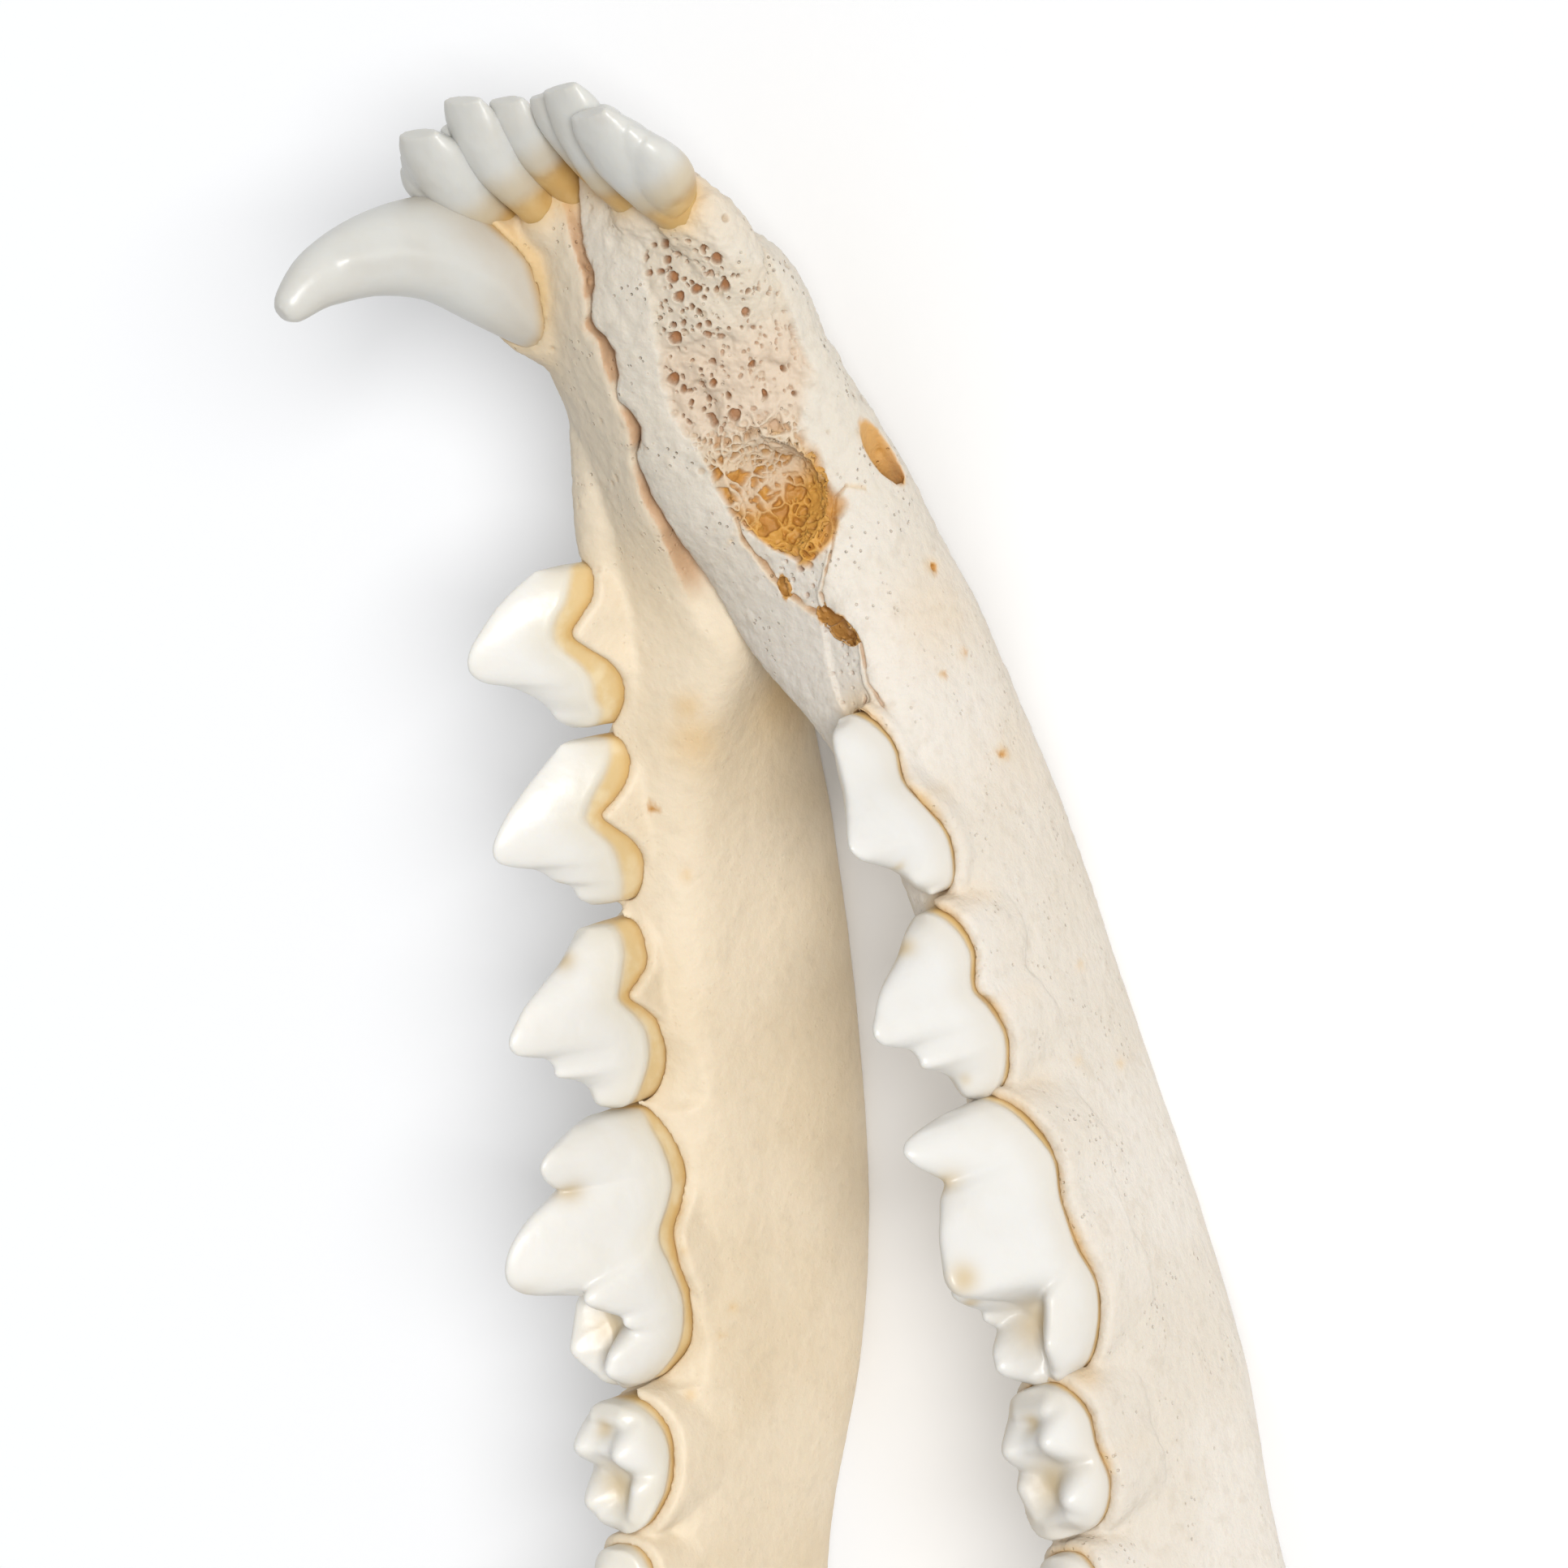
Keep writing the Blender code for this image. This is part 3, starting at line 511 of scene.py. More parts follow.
# %% Cheek teeth
# at: its place. turn and lean: degrees. ends: back and front. edge: x, height and y of the cutting edge.
# inner and outer: x, height of the bone's rim and of the enamel's lower line, on the tongue's side and
# the cheek's side. cusps: ridges from peak to peak, each x, y and height, and how steeply they fall away.
# tan: x, y, height and radius of a stain. right: what differs on the animal's right.
CHEEK_TEETH = {
    "p2": dict(
        at=(-25.0, 8.2, -0.7), turn=16, lean=22, ends=(-4.1, 4.6), width=3.1,
        edge=((-4.1, 1.9, 0), (-3.5, 2.8, 0), (-2.8, 3.3, 0), (-2.0, 4.3, 0), (-1.4, 5.4, 0),
              (-1.0, 6.7, 0), (-0.5, 7.5, 0), (0.2, 7.8, 0), (1.0, 7.6, 0), (1.9, 7.0, 0),
              (2.8, 6.3, 0), (3.7, 5.3, 0), (4.6, 4.0, 0)),
        cusps=(),
        inner=((-4.2, 0.1, 0.9), (-3.0, -0.2, 0.9), (-2.2, -0.25, 1.35), (-1.2, 0.0, 1.6),
               (-0.2, 0.8, 2.3), (0.6, 1.9, 3.2), (1.4, 2.8, 3.7), (2.4, 2.2, 3.5), (3.2, 1.6, 2.95),
               (4.6, 1.3, 2.4)),
        outer=((-4.2, 0.0, 0.4), (-2.2, -0.3, 0.2), (0.3, 1.2, 1.7), (2.6, 0.6, 1.2),
               (4.6, 1.0, 1.6))),
    "p3": dict(
        at=(-33.9, 10.1, -0.7), turn=13, lean=19, ends=(-4.4, 4.5), width=3.2,
        edge=((-4.4, 1.5, 0), (-3.9, 2.2, 0), (-3.1, 2.7, 0), (-2.7, 3.6, 0), (-2.2, 4.2, 0),
              (-1.8, 4.9, 0), (-1.5, 6.0, 0), (-1.1, 6.8, 0), (-0.5, 7.1, 0), (0.2, 6.9, 0),
              (1.3, 6.2, 0), (2.4, 5.2, 0), (3.4, 4.1, 0), (4.5, 2.9, 0)),
        cusps=(),
        inner=((-4.4, -0.6, 0.2), (-3.2, -0.85, 0.35), (-1.8, -0.6, 0.75), (-0.8, 0.0, 1.2),
               (0.0, 0.9, 1.95), (0.8, 1.7, 2.5), (1.4, 1.0, 2.3), (2.1, 0.3, 1.9), (3.3, -0.2, 1.0),
               (4.6, 0.0, 0.5)),
        outer=((-4.4, 0.1, 0.3), (-2.4, -0.2, 0.15), (-0.4, 1.1, 1.2), (0.6, 1.3, 1.5),
               (2.4, 0.7, 1.0), (4.6, 1.2, 1.7)),
        tan=((-2.9, 0.0, 3.4, 0.35),),
        right=dict(at=(-33.8, 9.6, -0.6), turn=19, lean=15, waist=0.2, ends=(-4.9, 4.9), edge=(
            (-4.6, 1.5, 0), (-4.1, 2.3, 0), (-3.4, 2.9, 0), (-2.9, 3.9, 0), (-2.5, 5.1, 0),
            (-2.1, 6.3, 0), (-1.5, 6.9, 0), (-0.8, 6.6, 0), (0.2, 5.7, 0), (1.3, 4.8, 0),
            (2.6, 4.2, 0), (3.7, 3.8, 0), (4.3, 3.3, 0), (4.7, 2.4, 0)))),
    "p4": dict(
        at=(-43.9, 11.8, 0.0), turn=8, lean=6, ends=(-4.8, 4.9), width=3.9,
        edge=((-4.8, 1.2, 0), (-4.4, 2.1, 0), (-3.3, 2.6, 0), (-2.7, 3.5, 0), (-2.2, 4.7, 0),
              (-1.7, 4.8, 0), (-1.1, 5.3, 0), (-0.7, 6.4, 0), (-0.3, 7.3, 0), (0.4, 7.6, 0),
              (1.2, 7.0, 0), (2.0, 6.2, 0), (2.6, 5.2, 0), (3.3, 3.9, 0), (4.1, 2.9, 0),
              (4.9, 1.6, 0)),
        cusps=(),
        inner=((-4.9, -0.7, 0.7), (-3.6, -1.2, 0.4), (-2.2, -1.3, 0.0), (-0.7, -0.9, 0.1),
               (0.3, -0.1, 0.7), (1.3, 1.0, 1.5), (1.9, 0.3, 1.4), (2.6, -0.5, 1.15),
               (3.6, -0.7, 0.7), (5.0, -0.8, 0.4)),
        outer=((-4.9, 0.4, 0.8), (-2.2, -0.1, 0.15), (-0.4, 0.6, 0.8), (0.6, 1.2, 1.4),
               (2.4, 0.3, 0.7), (5.0, 0.8, 1.3)),
        tan=((-3.6, 0.5, 2.5, 0.35), (3.6, 0.0, 3.4, 0.6)),
        right=dict(at=(-43.9, 11.7, 0.1), lean=5)),
    "m1": dict(
        at=(-56.1, 13.5, 0.3), turn=8, lean=6, ends=(-7.1, 7.4), width=5.6,
        edge=((-7.1, 1.4, 0), (-3.0, 2.0, 0), (-2.2, 3.0, 0.2), (-1.6, 4.4, 0.4), (-1.1, 6.2, 0.5),
              (-0.6, 7.7, 0.5), (0.2, 8.7, 0.4), (1.2, 8.9, 0.3), (2.4, 8.4, 0.1), (3.4, 7.2, -0.1),
              (4.1, 5.8, -0.3), (4.35, 5.3, -0.3), (4.7, 5.8, -0.4), (5.5, 6.6, -0.7),
              (6.2, 6.8, -0.9), (6.8, 6.0, -0.9), (7.4, 3.8, -0.6)),
        cusps=((-1.2, -1.7, 5.6, -1.2, -1.7, 5.6, 2.2), (-3.0, 2.1, 3.3, -5.0, 2.1, 4.3, 1.6),
               (-5.0, 2.1, 4.3, -6.4, 0.9, 3.0, 1.6), (-3.0, -2.1, 3.6, -3.0, -2.1, 3.6, 2.6),
               (-4.9, -1.5, 4.2, -5.5, -1.4, 4.3, 1.9), (-5.5, -1.4, 4.3, -6.4, -0.6, 3.0, 1.7),
               (-2.4, 0.1, 1.9, -6.0, 0.1, 1.7, 0.3)),
        tan=((-3.9, 0.4, 2.2, 1.3), (-2.0, -1.4, 4.8, 0.5), (4.4, -0.5, 4.9, 0.8),
             (-0.2, 0.9, 7.6, 0.8)),
        right=dict(edge=((-7.1, 1.4, 0), (-3.2, 2.0, 0), (-2.5, 3.2, 0.2), (-2.0, 4.8, 0.4),
                         (-1.5, 6.5, 0.5), (-1.0, 7.7, 0.5), (-0.2, 8.2, 0.4), (0.8, 7.9, 0.3),
                         (1.8, 7.4, 0.1), (2.8, 6.7, 0), (3.6, 5.9, -0.2), (4.2, 5.1, -0.3),
                         (4.8, 5.7, -0.4), (5.7, 6.7, -0.7), (6.5, 6.9, -0.9), (7.0, 6.1, -0.9),
                         (7.4, 3.8, -0.6)),
            at=(-55.9, 13.4, 0.4)),
        inner=((-7.4, 0.5, 1.4), (-6.6, 0.0, 1.0), (-5.4, -0.9, 0.1), (-4.2, -1.0, -0.2),
               (-2.6, -0.75, -0.15), (-0.8, -0.1, 0.45), (0.9, 0.0, 0.95), (2.4, -1.0, 0.1),
               (3.8, -1.5, -0.35), (5.5, -1.3, -0.2), (6.6, -0.9, 0.0), (7.5, -0.5, -0.2)),
        outer=((-7.4, 0.8, 1.2), (-5.2, 0.0, 0.25), (-3.0, -0.4, -0.15), (-0.8, 0.4, 0.6),
               (1.0, 0.3, 0.5), (3.4, -0.3, 0.0), (5.6, 0.2, 0.7), (7.5, 1.0, 1.6))),
    "m2": dict(
        at=(-66.9, 14.6, 2.65), turn=6, lean=3, ends=(-3.4, 3.4), width=5.0,
        edge=((-3.4, 1.2, 0), (0.0, 1.3, 0), (3.4, 1.0, 0)),
        cusps=((1.3, 1.3, 3.0, 1.3, 1.3, 3.0, 1.6), (1.1, -1.4, 2.9, 1.1, -1.4, 2.9, 1.5),
               (-1.8, 1.4, 2.7, -1.8, 1.4, 2.7, 1.4), (2.7, 0.9, 2.0, 2.7, -0.8, 1.9, 1.6),
               (1.3, 1.2, 2.6, 1.1, -1.4, 2.4, 1.9), (-1.0, -1.7, 2.2, -2.4, -1.2, 2.2, 1.7),
               (-2.6, 0.9, 2.3, -2.8, -0.6, 2.1, 1.8), (0.4, 0.0, 1.1, -2.2, 0.0, 0.8, 0.3)),
        tan=((-1.0, 0.0, 1.2, 1.1), (2.2, 0.1, 1.9, 0.5)),
        right=dict(at=(-66.5, 14.6, 2.65), ends=(-3.8, 3.8)),
        inner=((-3.4, 1.2, 1.6), (-2.4, 0.8, 1.2), (-1.2, 0.1, 0.55), (0.4, -0.3, 0.0),
               (1.6, -0.4, 0.0), (3.4, 0.1, 0.7)),
        outer=((-3.4, 0.3, 0.6), (-1.6, 0.0, 0.15), (0.0, 0.2, 0.3), (1.6, -0.1, 0.1),
               (3.4, 0.3, 0.6))),
    "m3": dict(
        at=(-72.8, 15.1, 4.5), turn=6, lean=2, ends=(-1.9, 1.9), width=3.3,
        edge=((-1.9, 0.9, 0), (1.9, 0.9, 0)),
        cusps=((0.5, 0.4, 1.6, 0.5, 0.4, 1.6, 0.8), (-0.6, -0.4, 1.4, -0.6, -0.4, 1.4, 0.6)),
        tan=((0, 0, 1.2, 0.5),),
        inner=((-1.9, -0.1, 0.2), (0.0, -0.3, 0.0), (1.9, -0.1, 0.2)),
        outer=((-1.9, 0.0, 0.2), (0.0, -0.1, 0.1), (1.9, 0.0, 0.2))),
}
LEFT_CHEEK_TEETH = tuple(CHEEK_TEETH)
RIGHT_CHEEK_TEETH = LEFT_CHEEK_TEETH[1:]      # the right second premolar is lost
BULGE = 2.6                           # how square the crown is from above: 2 is an ellipse
WAIST = 0.09                          # how much a long crown narrows between its two roots
BLUNT = 0.55                          # mm, how far a cusp's peak is rounded
ROOT_DEPTH = 5.5                      # mm, below the bone's rim
print("cheek teeth", len(LEFT_CHEEK_TEETH), "left", len(RIGHT_CHEEK_TEETH), "right")


# %% Where a tooth stands
def size_of(name, side):
    """A tooth's sizes. The right one differs a little where it is set or worn another way."""
    size = CHEEK_TEETH[name]
    return dict(size, **size.get("right", {})) if side < 0 else size


def tooth_frame(size):
    turned = Matrix.Rotation(math.radians(-size["turn"]), 4, "Z")
    leaned = Matrix.Rotation(math.radians(-size["lean"]), 4, "X")
    return np.array(Matrix.Translation(Vector(size["at"])) @ (turned @ leaned))


def placed(frame_of, local):
    """Points of the tooth's own frame, in the animal's."""
    return local @ frame_of[:3, :3].T + frame_of[:3, 3]


def unplaced(frame_of, places):
    return (places - frame_of[:3, 3]) @ frame_of[:3, :3]


def half_width(size, x, grow=0.0):
    """Half the crown's width at a place along it."""
    back, front = size["ends"]
    share = np.clip(np.abs(2 * x - front - back) / (front - back + 2 * grow), 0, 1)
    waist = 1 - size.get("waist", WAIST) * np.exp(-((x - 0.25 * front) / 1.3) ** 2) * (front - back > 7)
    return (size["width"] / 2 + grow) * (1 - share**BULGE) ** (1 / BULGE) * waist


def wavy_lines(size, x, y):
    """Heights of the bone's rim and of the enamel's lower line at a place beside the tooth."""
    cheek = ramp(-0.35, 0.35, y / (size["width"] / 2))[..., None]
    inner = curve(size["inner"], np.ravel(x)).reshape(np.shape(x) + (2,))
    outer = curve(size["outer"], np.ravel(x)).reshape(np.shape(x) + (2,))
    both = inner * (1 - cheek) + outer * cheek
    return both[..., 0], both[..., 1]


# %% [markdown]
# ## Crowns and roots
# A crown is made from slices across the cutting edge, each a tent whose ridge is the edge and whose foot
# is the enamel's line. Low cusps that stand beside the edge, as on the molars, are ridges from peak to
# peak, and the highest of all these forms wins, softly. The slices go on down past the enamel as a root
# trunk, and two tapered roots hold it in the bone. A remesh makes one skin of them.

# %% Crowns
def cusp_heights(size, x, y):
    """Height of each cusp or ridge, as it falls away from its crest."""
    heights = []
    for x1, y1, h1, x2, y2, h2, slope in size["cusps"]:
        run = (x2 - x1) ** 2 + (y2 - y1) ** 2
        along = (x - x1) * (x2 - x1) + (y - y1) * (y2 - y1)
        share = 0.0 if run < 1e-9 else np.clip(along / run, 0, 1)
        off_x, off_y = x - x1 - share * (x2 - x1), y - y1 - share * (y2 - y1)
        far = np.sqrt(off_x**2 + off_y**2 + BLUNT**2) - BLUNT
        heights.append(h1 + (h2 - h1) * share - slope * far)
    return heights


def slices(size, count):
    """Places along the tooth, close together at its two ends."""
    back, front = size["ends"]
    turn = math.pi * (0.01 + 0.98 * np.linspace(0, 1, count))
    return (back + front) / 2 - np.cos(turn) * (front - back) / 2


def crown_rings(size):
    """Closed slices across the tooth: over the crown, then down, under the root trunk and up again."""
    x = slices(size, 130)
    half = half_width(size, x)
    t = np.linspace(-1, 1, 73)
    u = np.sign(t) * (1 - (1 - np.abs(t)) ** 1.7)
    X, U = np.meshgrid(x, u, indexing="ij")
    Y = U * half[:, None]
    edge_z, edge_y = curve(size["edge"], x).T
    base = wavy_lines(size, X, Y)[1] + 0.45
    lean = np.clip(edge_y / np.maximum(half, 0.3), -0.6, 0.6)[:, None]
    away = np.abs(U - lean) / (1 - np.sign(U - lean) * lean)
    tent = (np.sqrt(away**2 + 0.05) - 0.2236) / (math.sqrt(1.05) - 0.2236)
    top = np.maximum(edge_z[:, None], base + 0.2)
    heights = [base + (top - base) * np.clip(1 - tent, 0, 1) ** 0.8] + cusp_heights(size, X, Y)
    heights = np.array(heights)
    peak = heights.max(0)
    height = peak + np.log(np.exp((heights - peak) * 5).sum(0)) / 5
    Z = base + np.maximum(height - base, 0.05) * (1 - np.abs(U) ** 7) ** 0.5
    rings = [np.stack([X, Y, Z], axis=2)]
    steps = ((0.25, 1.0), (0.0, 0.97), (-0.12, 0.92), (-0.8, 0.87), (-1.6, 0.82), (-2.6, 0.74))
    for side in (1, -1):
        foot = []
        for drop, share in steps:
            y = side * half * share
            rim, enamel = wavy_lines(size, x, side * np.full_like(x, size["width"]))
            z = enamel + drop if drop > -0.5 else np.minimum(enamel - 0.3, rim) + drop + 0.3
            foot.append(np.stack([x, y, z], axis=1))
        rings.append(np.stack(foot if side > 0 else foot[::-1], axis=1))
    return np.concatenate(rings, axis=1)


# %% Roots and whole cheek teeth
def roots_of(size):
    """Middle along the tooth, half length and half width of each root."""
    back, front = size["ends"]
    length = front - back
    if length < 4:
        return [((front + back) / 2, 0.36 * length, 0.36 * size["width"])]
    middles = [(front + back) / 2 + s * 0.25 * length for s in (1, -1)]
    return [(middle, 0.2 * length, 0.37 * size["width"]) for middle in middles]


def root_rings(middle, long_half, wide_half):
    """Level sections of one root, which tapers downward."""
    depth = np.linspace(0.3, -ROOT_DEPTH, 24)
    taper = 1 - 0.55 * np.clip(-depth / ROOT_DEPTH, 0, 1) ** 1.4
    angle = np.linspace(0, math.tau, 36, endpoint=False)
    x = middle + long_half * taper[:, None] * np.cos(angle)
    y = wide_half * taper[:, None] * np.sin(angle)
    return np.stack([x, y, np.repeat(depth[:, None], len(angle), axis=1)], axis=2)


def near_balls(p, balls):
    """1 at the middle of each ball, given as x, y, z and radius, and less and less outside it."""
    best = np.zeros(len(p))
    for x, y, z, radius in balls:
        best = np.maximum(best, np.exp(-((p - (x, y, z)) ** 2).sum(1) / radius**2))
    return best


def cheek_tooth(name, side):
    """A crown and its roots in one skin, with its enamel marked. Left is side 1."""
    size = size_of(name, side)
    forms = [rolled("crown", crown_rings(size))]
    forms += [rolled("root", root_rings(*root)) for root in roots_of(size)]
    kind = {"p": "premolar_", "m": "molar_"}[name[0]]
    tooth = join(forms, ("left_" if side > 0 else "right_") + kind + name[1])
    remesh(tooth, 0.1)
    smooth(tooth, 3)
    local = points(tooth)
    worn = rough(local + side * 50, 1.5, 30 + len(name)) * 0.04
    local = local + normals(tooth) * worn[:, None]
    rim, enamel = wavy_lines(size, local[:, 0], local[:, 1])
    above = local[:, 2] - enamel + 0.1 * field(local, 1.2, 35)
    paint(tooth, "enamel", ramp(-0.45, 0.25, above))
    paint(tooth, "height", above / 7.0)
    paint(tooth, "rim", np.exp(-np.maximum(local[:, 2] - rim - 0.05, 0) / 0.22))
    paint(tooth, "tan", near_balls(local, size.get("tan", ())))
    places = placed(tooth_frame(size), local)
    places[:, 1] *= side
    move_points(tooth, places)
    if side < 0:
        tooth.data.flip_normals()
    return tooth


# %% [markdown]
# ## Incisors and the fang
# The incisors are small fans that lean forward. Each is two to four lobes that share one neck: a tall
# one in the middle and lower ones at its sides, which on the third incisor stand well back and merge
# into one wedge. A single swept form would look like a peg, so each lobe is swept along a short line of
# its own, and a remesh gives them one smooth skin. The fang is a curved cone that leans outward and
# back, with a faint ridge down its inner side.

# %% Lines of the incisors and the fang
INCISORS = {      # lines of the lobes: x, y, z, half thickness and half width
    "1": (
        ((-3.4, 1.3, 0.2, 0.7, 0.6), (-0.2, 1.45, 3.0, 1.05, 0.95), (1.7, 1.45, 4.3, 1.05, 1.3),
         (2.9, 1.4, 5.1, 0.75, 1.3), (3.8, 1.35, 5.5, 0.3, 1.1)),
        ((0.2, 1.9, 3.0, 0.7, 0.5), (1.6, 2.4, 4.1, 0.75, 0.75), (2.6, 2.6, 4.8, 0.5, 0.6),
         (3.1, 2.6, 5.1, 0.25, 0.4)),
    ),
    "2": (
        ((-4.4, 3.1, 0.4, 0.8, 0.7), (-1.0, 3.1, 3.6, 1.2, 1.1), (1.4, 3.4, 5.2, 1.2, 1.5),
         (3.1, 3.4, 6.0, 0.8, 1.5), (4.2, 3.3, 6.5, 0.3, 1.15)),
        ((-0.6, 3.8, 3.6, 0.9, 0.6), (0.9, 4.7, 4.7, 0.95, 0.95), (2.3, 5.1, 5.6, 0.65, 0.8),
         (2.9, 5.2, 6.0, 0.28, 0.45)),
        ((-0.3, 2.8, 3.6, 0.8, 0.6), (1.7, 2.5, 5.1, 0.75, 0.8), (3.0, 2.3, 5.8, 0.4, 0.5)),
    ),
    "3": (
        ((-5.0, 5.7, 0.2, 1.0, 0.9), (-1.9, 5.9, 3.5, 1.4, 1.35), (0.4, 6.0, 5.6, 1.4, 1.85),
         (1.9, 5.9, 6.8, 0.95, 1.75), (2.9, 5.8, 7.5, 0.35, 1.2)),
        ((-2.0, 6.2, 3.4, 1.2, 1.2), (-0.3, 6.6, 5.0, 1.35, 1.6), (1.0, 6.8, 6.2, 0.95, 1.5),
         (1.9, 6.8, 6.95, 0.4, 1.0)),
        ((-2.1, 6.4, 3.2, 1.3, 1.0), (-0.9, 7.0, 4.5, 1.4, 1.5), (0.4, 7.5, 5.8, 1.0, 1.4),
         (1.2, 7.6, 6.6, 0.4, 0.8)),
        ((-1.2, 5.3, 3.8, 1.1, 0.8), (0.5, 5.0, 5.3, 1.0, 1.0), (1.7, 4.7, 6.3, 0.5, 0.7)),
    ),
}
INCISOR_NECKS = {"1": -0.1, "2": -0.7, "3": -0.6}      # mm, from the neck up to the enamel's line
FANG_LINE = (
    (-13.4, 4.7, -3.2, 1.4, 1.3), (-10.0, 5.1, -1.6, 2.4, 1.9), (-6.9, 5.6, 0.6, 3.1, 2.3),
    (-4.7, 6.5, 3.2, 3.15, 2.4), (-3.0, 7.5, 6.2, 2.7, 2.2), (-2.5, 8.5, 9.4, 2.15, 1.9),
    (-2.9, 9.4, 12.4, 1.6, 1.4), (-3.9, 10.0, 14.4, 1.0, 0.9), (-4.2, 10.2, 15.0, 0.5, 0.5),
)
FANG_RIDGE = ((-8.4, 4.4, 3.6), (-5.7, 4.2, 5.0), (-3.7, 5.0, 7.4), (-2.5, 6.3, 9.6), (-2.3, 7.8, 12.0))
print("incisors", 2 * len(INCISORS), "fang tip at z", FANG_LINE[-1][2])


# %% Distances from lines
def fang_rim_height(x):
    """Height of the bone's rim round the fang, which rises toward the third incisor."""
    return 3.35 + 0.12 * (x + 6) + 0.42 * np.maximum(x + 4.4, 0)


def far_from_lines(p, lines, rows=40):
    """Distance from the skin of swept lines, less than 0 inside them."""
    best = np.full(len(p), 99.0)
    for line in lines:
        stations = np.column_stack([np.arange(len(line)), np.asarray(line, float)])
        middle = curve(stations, np.linspace(0, len(line) - 1, rows))
        for x, y, z, high, wide in middle:
            far = np.sqrt((p[:, 0] - x) ** 2 + (p[:, 1] - y) ** 2 + (p[:, 2] - z) ** 2)
            best = np.minimum(best, far - (high + wide) / 2)
    return best


def far_from_path(p, path):
    """Distance from a path of straight pieces."""
    best = np.full(len(p), 99.0)
    for a, b in zip(path[:-1], path[1:]):
        share = np.clip((p - a) @ (b - a) / ((b - a) @ (b - a)), 0, 1)
        best = np.minimum(best, np.linalg.norm(p - a - share[:, None] * (b - a), axis=1))
    return best


# %% Incisors and fang
def incisor(name, side):
    """The lobes of one incisor in one skin, with its enamel marked. Left is side 1."""
    lobes = INCISORS[name]
    label = ("left_" if side > 0 else "right_") + "incisor_" + name
    tooth = join([swept("lobe", lobe, 50, 40) for lobe in lobes], label)
    remesh(tooth, 0.09)
    smooth(tooth, 7)
    neck, tip = np.array(lobes[0][1][:3]), np.array(lobes[0][-1][:3])
    heading = (tip - neck) / np.linalg.norm(tip - neck)
    p = points(tooth)
    p = p + normals(tooth) * (rough(p + side * 30, 1.2, 44) * 0.05 + 0.05)[:, None]
    along = (p - neck) @ heading
    aside = np.linalg.norm(p - neck - along[:, None] * heading, axis=1)
    lower = along - 0.45 - INCISOR_NECKS[name] - 0.25 * aside
    paint(tooth, "enamel", ramp(-0.3, 0.7, lower))
    paint(tooth, "height", lower / 6.0)
    paint(tooth, "rim", ramp(0.3, -0.8, lower))
    paint(tooth, "tan", ramp(2.6, 0.6, lower) * ramp(0.9, 1.5, aside) * 0.7)
    p[:, 1] *= side
    move_points(tooth, p)
    if side < 0:
        tooth.data.flip_normals()
    return tooth


def fang():
    """The left fang with its ridge, its enamel marked."""
    tooth = swept("left_fang", FANG_LINE, 120, 80)
    remesh(tooth, 0.12)
    smooth(tooth, 6)
    p = points(tooth)
    ridge = 0.2 * np.exp(-(far_from_path(p, np.array(FANG_RIDGE)) / 0.5) ** 2)
    p = p + normals(tooth) * (rough(p, 2.0, 51) * 0.03 + ridge)[:, None]
    move_points(tooth, p)
    above = p[:, 2] - fang_rim_height(p[:, 0])
    paint(tooth, "enamel", ramp(-0.25, 0.5, above))
    paint(tooth, "height", above / 9)
    paint(tooth, "rim", ramp(0.2, -0.2, above))
    paint(tooth, "tan", np.zeros(len(p)))
    return tooth


teeth = {}
for side, names in ((1, LEFT_CHEEK_TEETH), (-1, RIGHT_CHEEK_TEETH)):
    for name in names:
        teeth[side, name] = cheek_tooth(name, side)
    for name in INCISORS:
        teeth[side, name] = incisor(name, side)
fang_tooth = fang()
print("teeth", len(teeth) + 1, "triangles", sum(triangle_count(t) for t in (*teeth.values(), fang_tooth)))

# %% [markdown]
# ## Joining and carving the bone
# The body, plate, stalk, hook and joint overlap and are remeshed into one skin. Then what is open is
# carved: a socket round each root, wider at the rim, so that a dark line runs round the tooth, the empty
# socket of the right fang, the holes for nerves and the small sockets of the lost premolar. Dark paint
# could stand in for the holes, but in the photo they have lit and shaded walls, so they are cut.

# %% Open places
OPEN_POCKET = (       # the lost fang's socket behind its spongy floor: x, y, z, half depth and half width
    (-13.6, 5.4, 3.1, 0.9, 1.2), (-15.2, 5.6, 2.5, 1.5, 1.7), (-16.6, 5.9, 1.6, 2.3, 2.0),
    (-18.1, 6.1, 0.4, 2.9, 2.0), (-19.1, 6.3, -0.5, 2.4, 1.7), (-19.8, 6.4, -1.2, 1.3, 1.0),
)
NERVE_HOLE = (
    (-12.9, 10.7, -3.7, 0.75, 0.8), (-14.2, 10.1, -4.3, 1.1, 1.0), (-16.2, 8.9, -5.3, 1.1, 1.05),
    (-18.6, 7.6, -6.5, 0.85, 0.8), (-21.0, 6.4, -7.4, 0.6, 0.6),
)
PITS = {      # centre and half sizes of small openings, on the animal's left or right
    1: (((-26.5, 9.9, -5.8), (0.3, 0.8, 0.22)), ((-33.6, 7.7, -1.0), (0.16, 0.5, 0.2))),
    -1: (
        ((-24.2, 7.1, -1.1), (0.42, 0.5, 1.2)), ((-24.8, 7.7, -1.4), (0.62, 0.5, 1.7)),
        ((-25.4, 8.2, -1.3), (0.36, 0.32, 1.3)), ((-22.6, 5.0, -0.2), (0.55, 0.2, 0.7)),
        ((-23.4, 9.3, -6.9), (0.26, 0.8, 0.22)), ((-33.1, 11.2, -7.1), (0.14, 0.8, 0.36)),
        ((-27.7, 10.2, -6.8), (0.16, 0.6, 0.16)), ((-28.4, 10.5, -4.6), (0.14, 0.5, 0.14)),
    ),
}
print("small openings", len(PITS[1]), "left", len(PITS[-1]), "right")


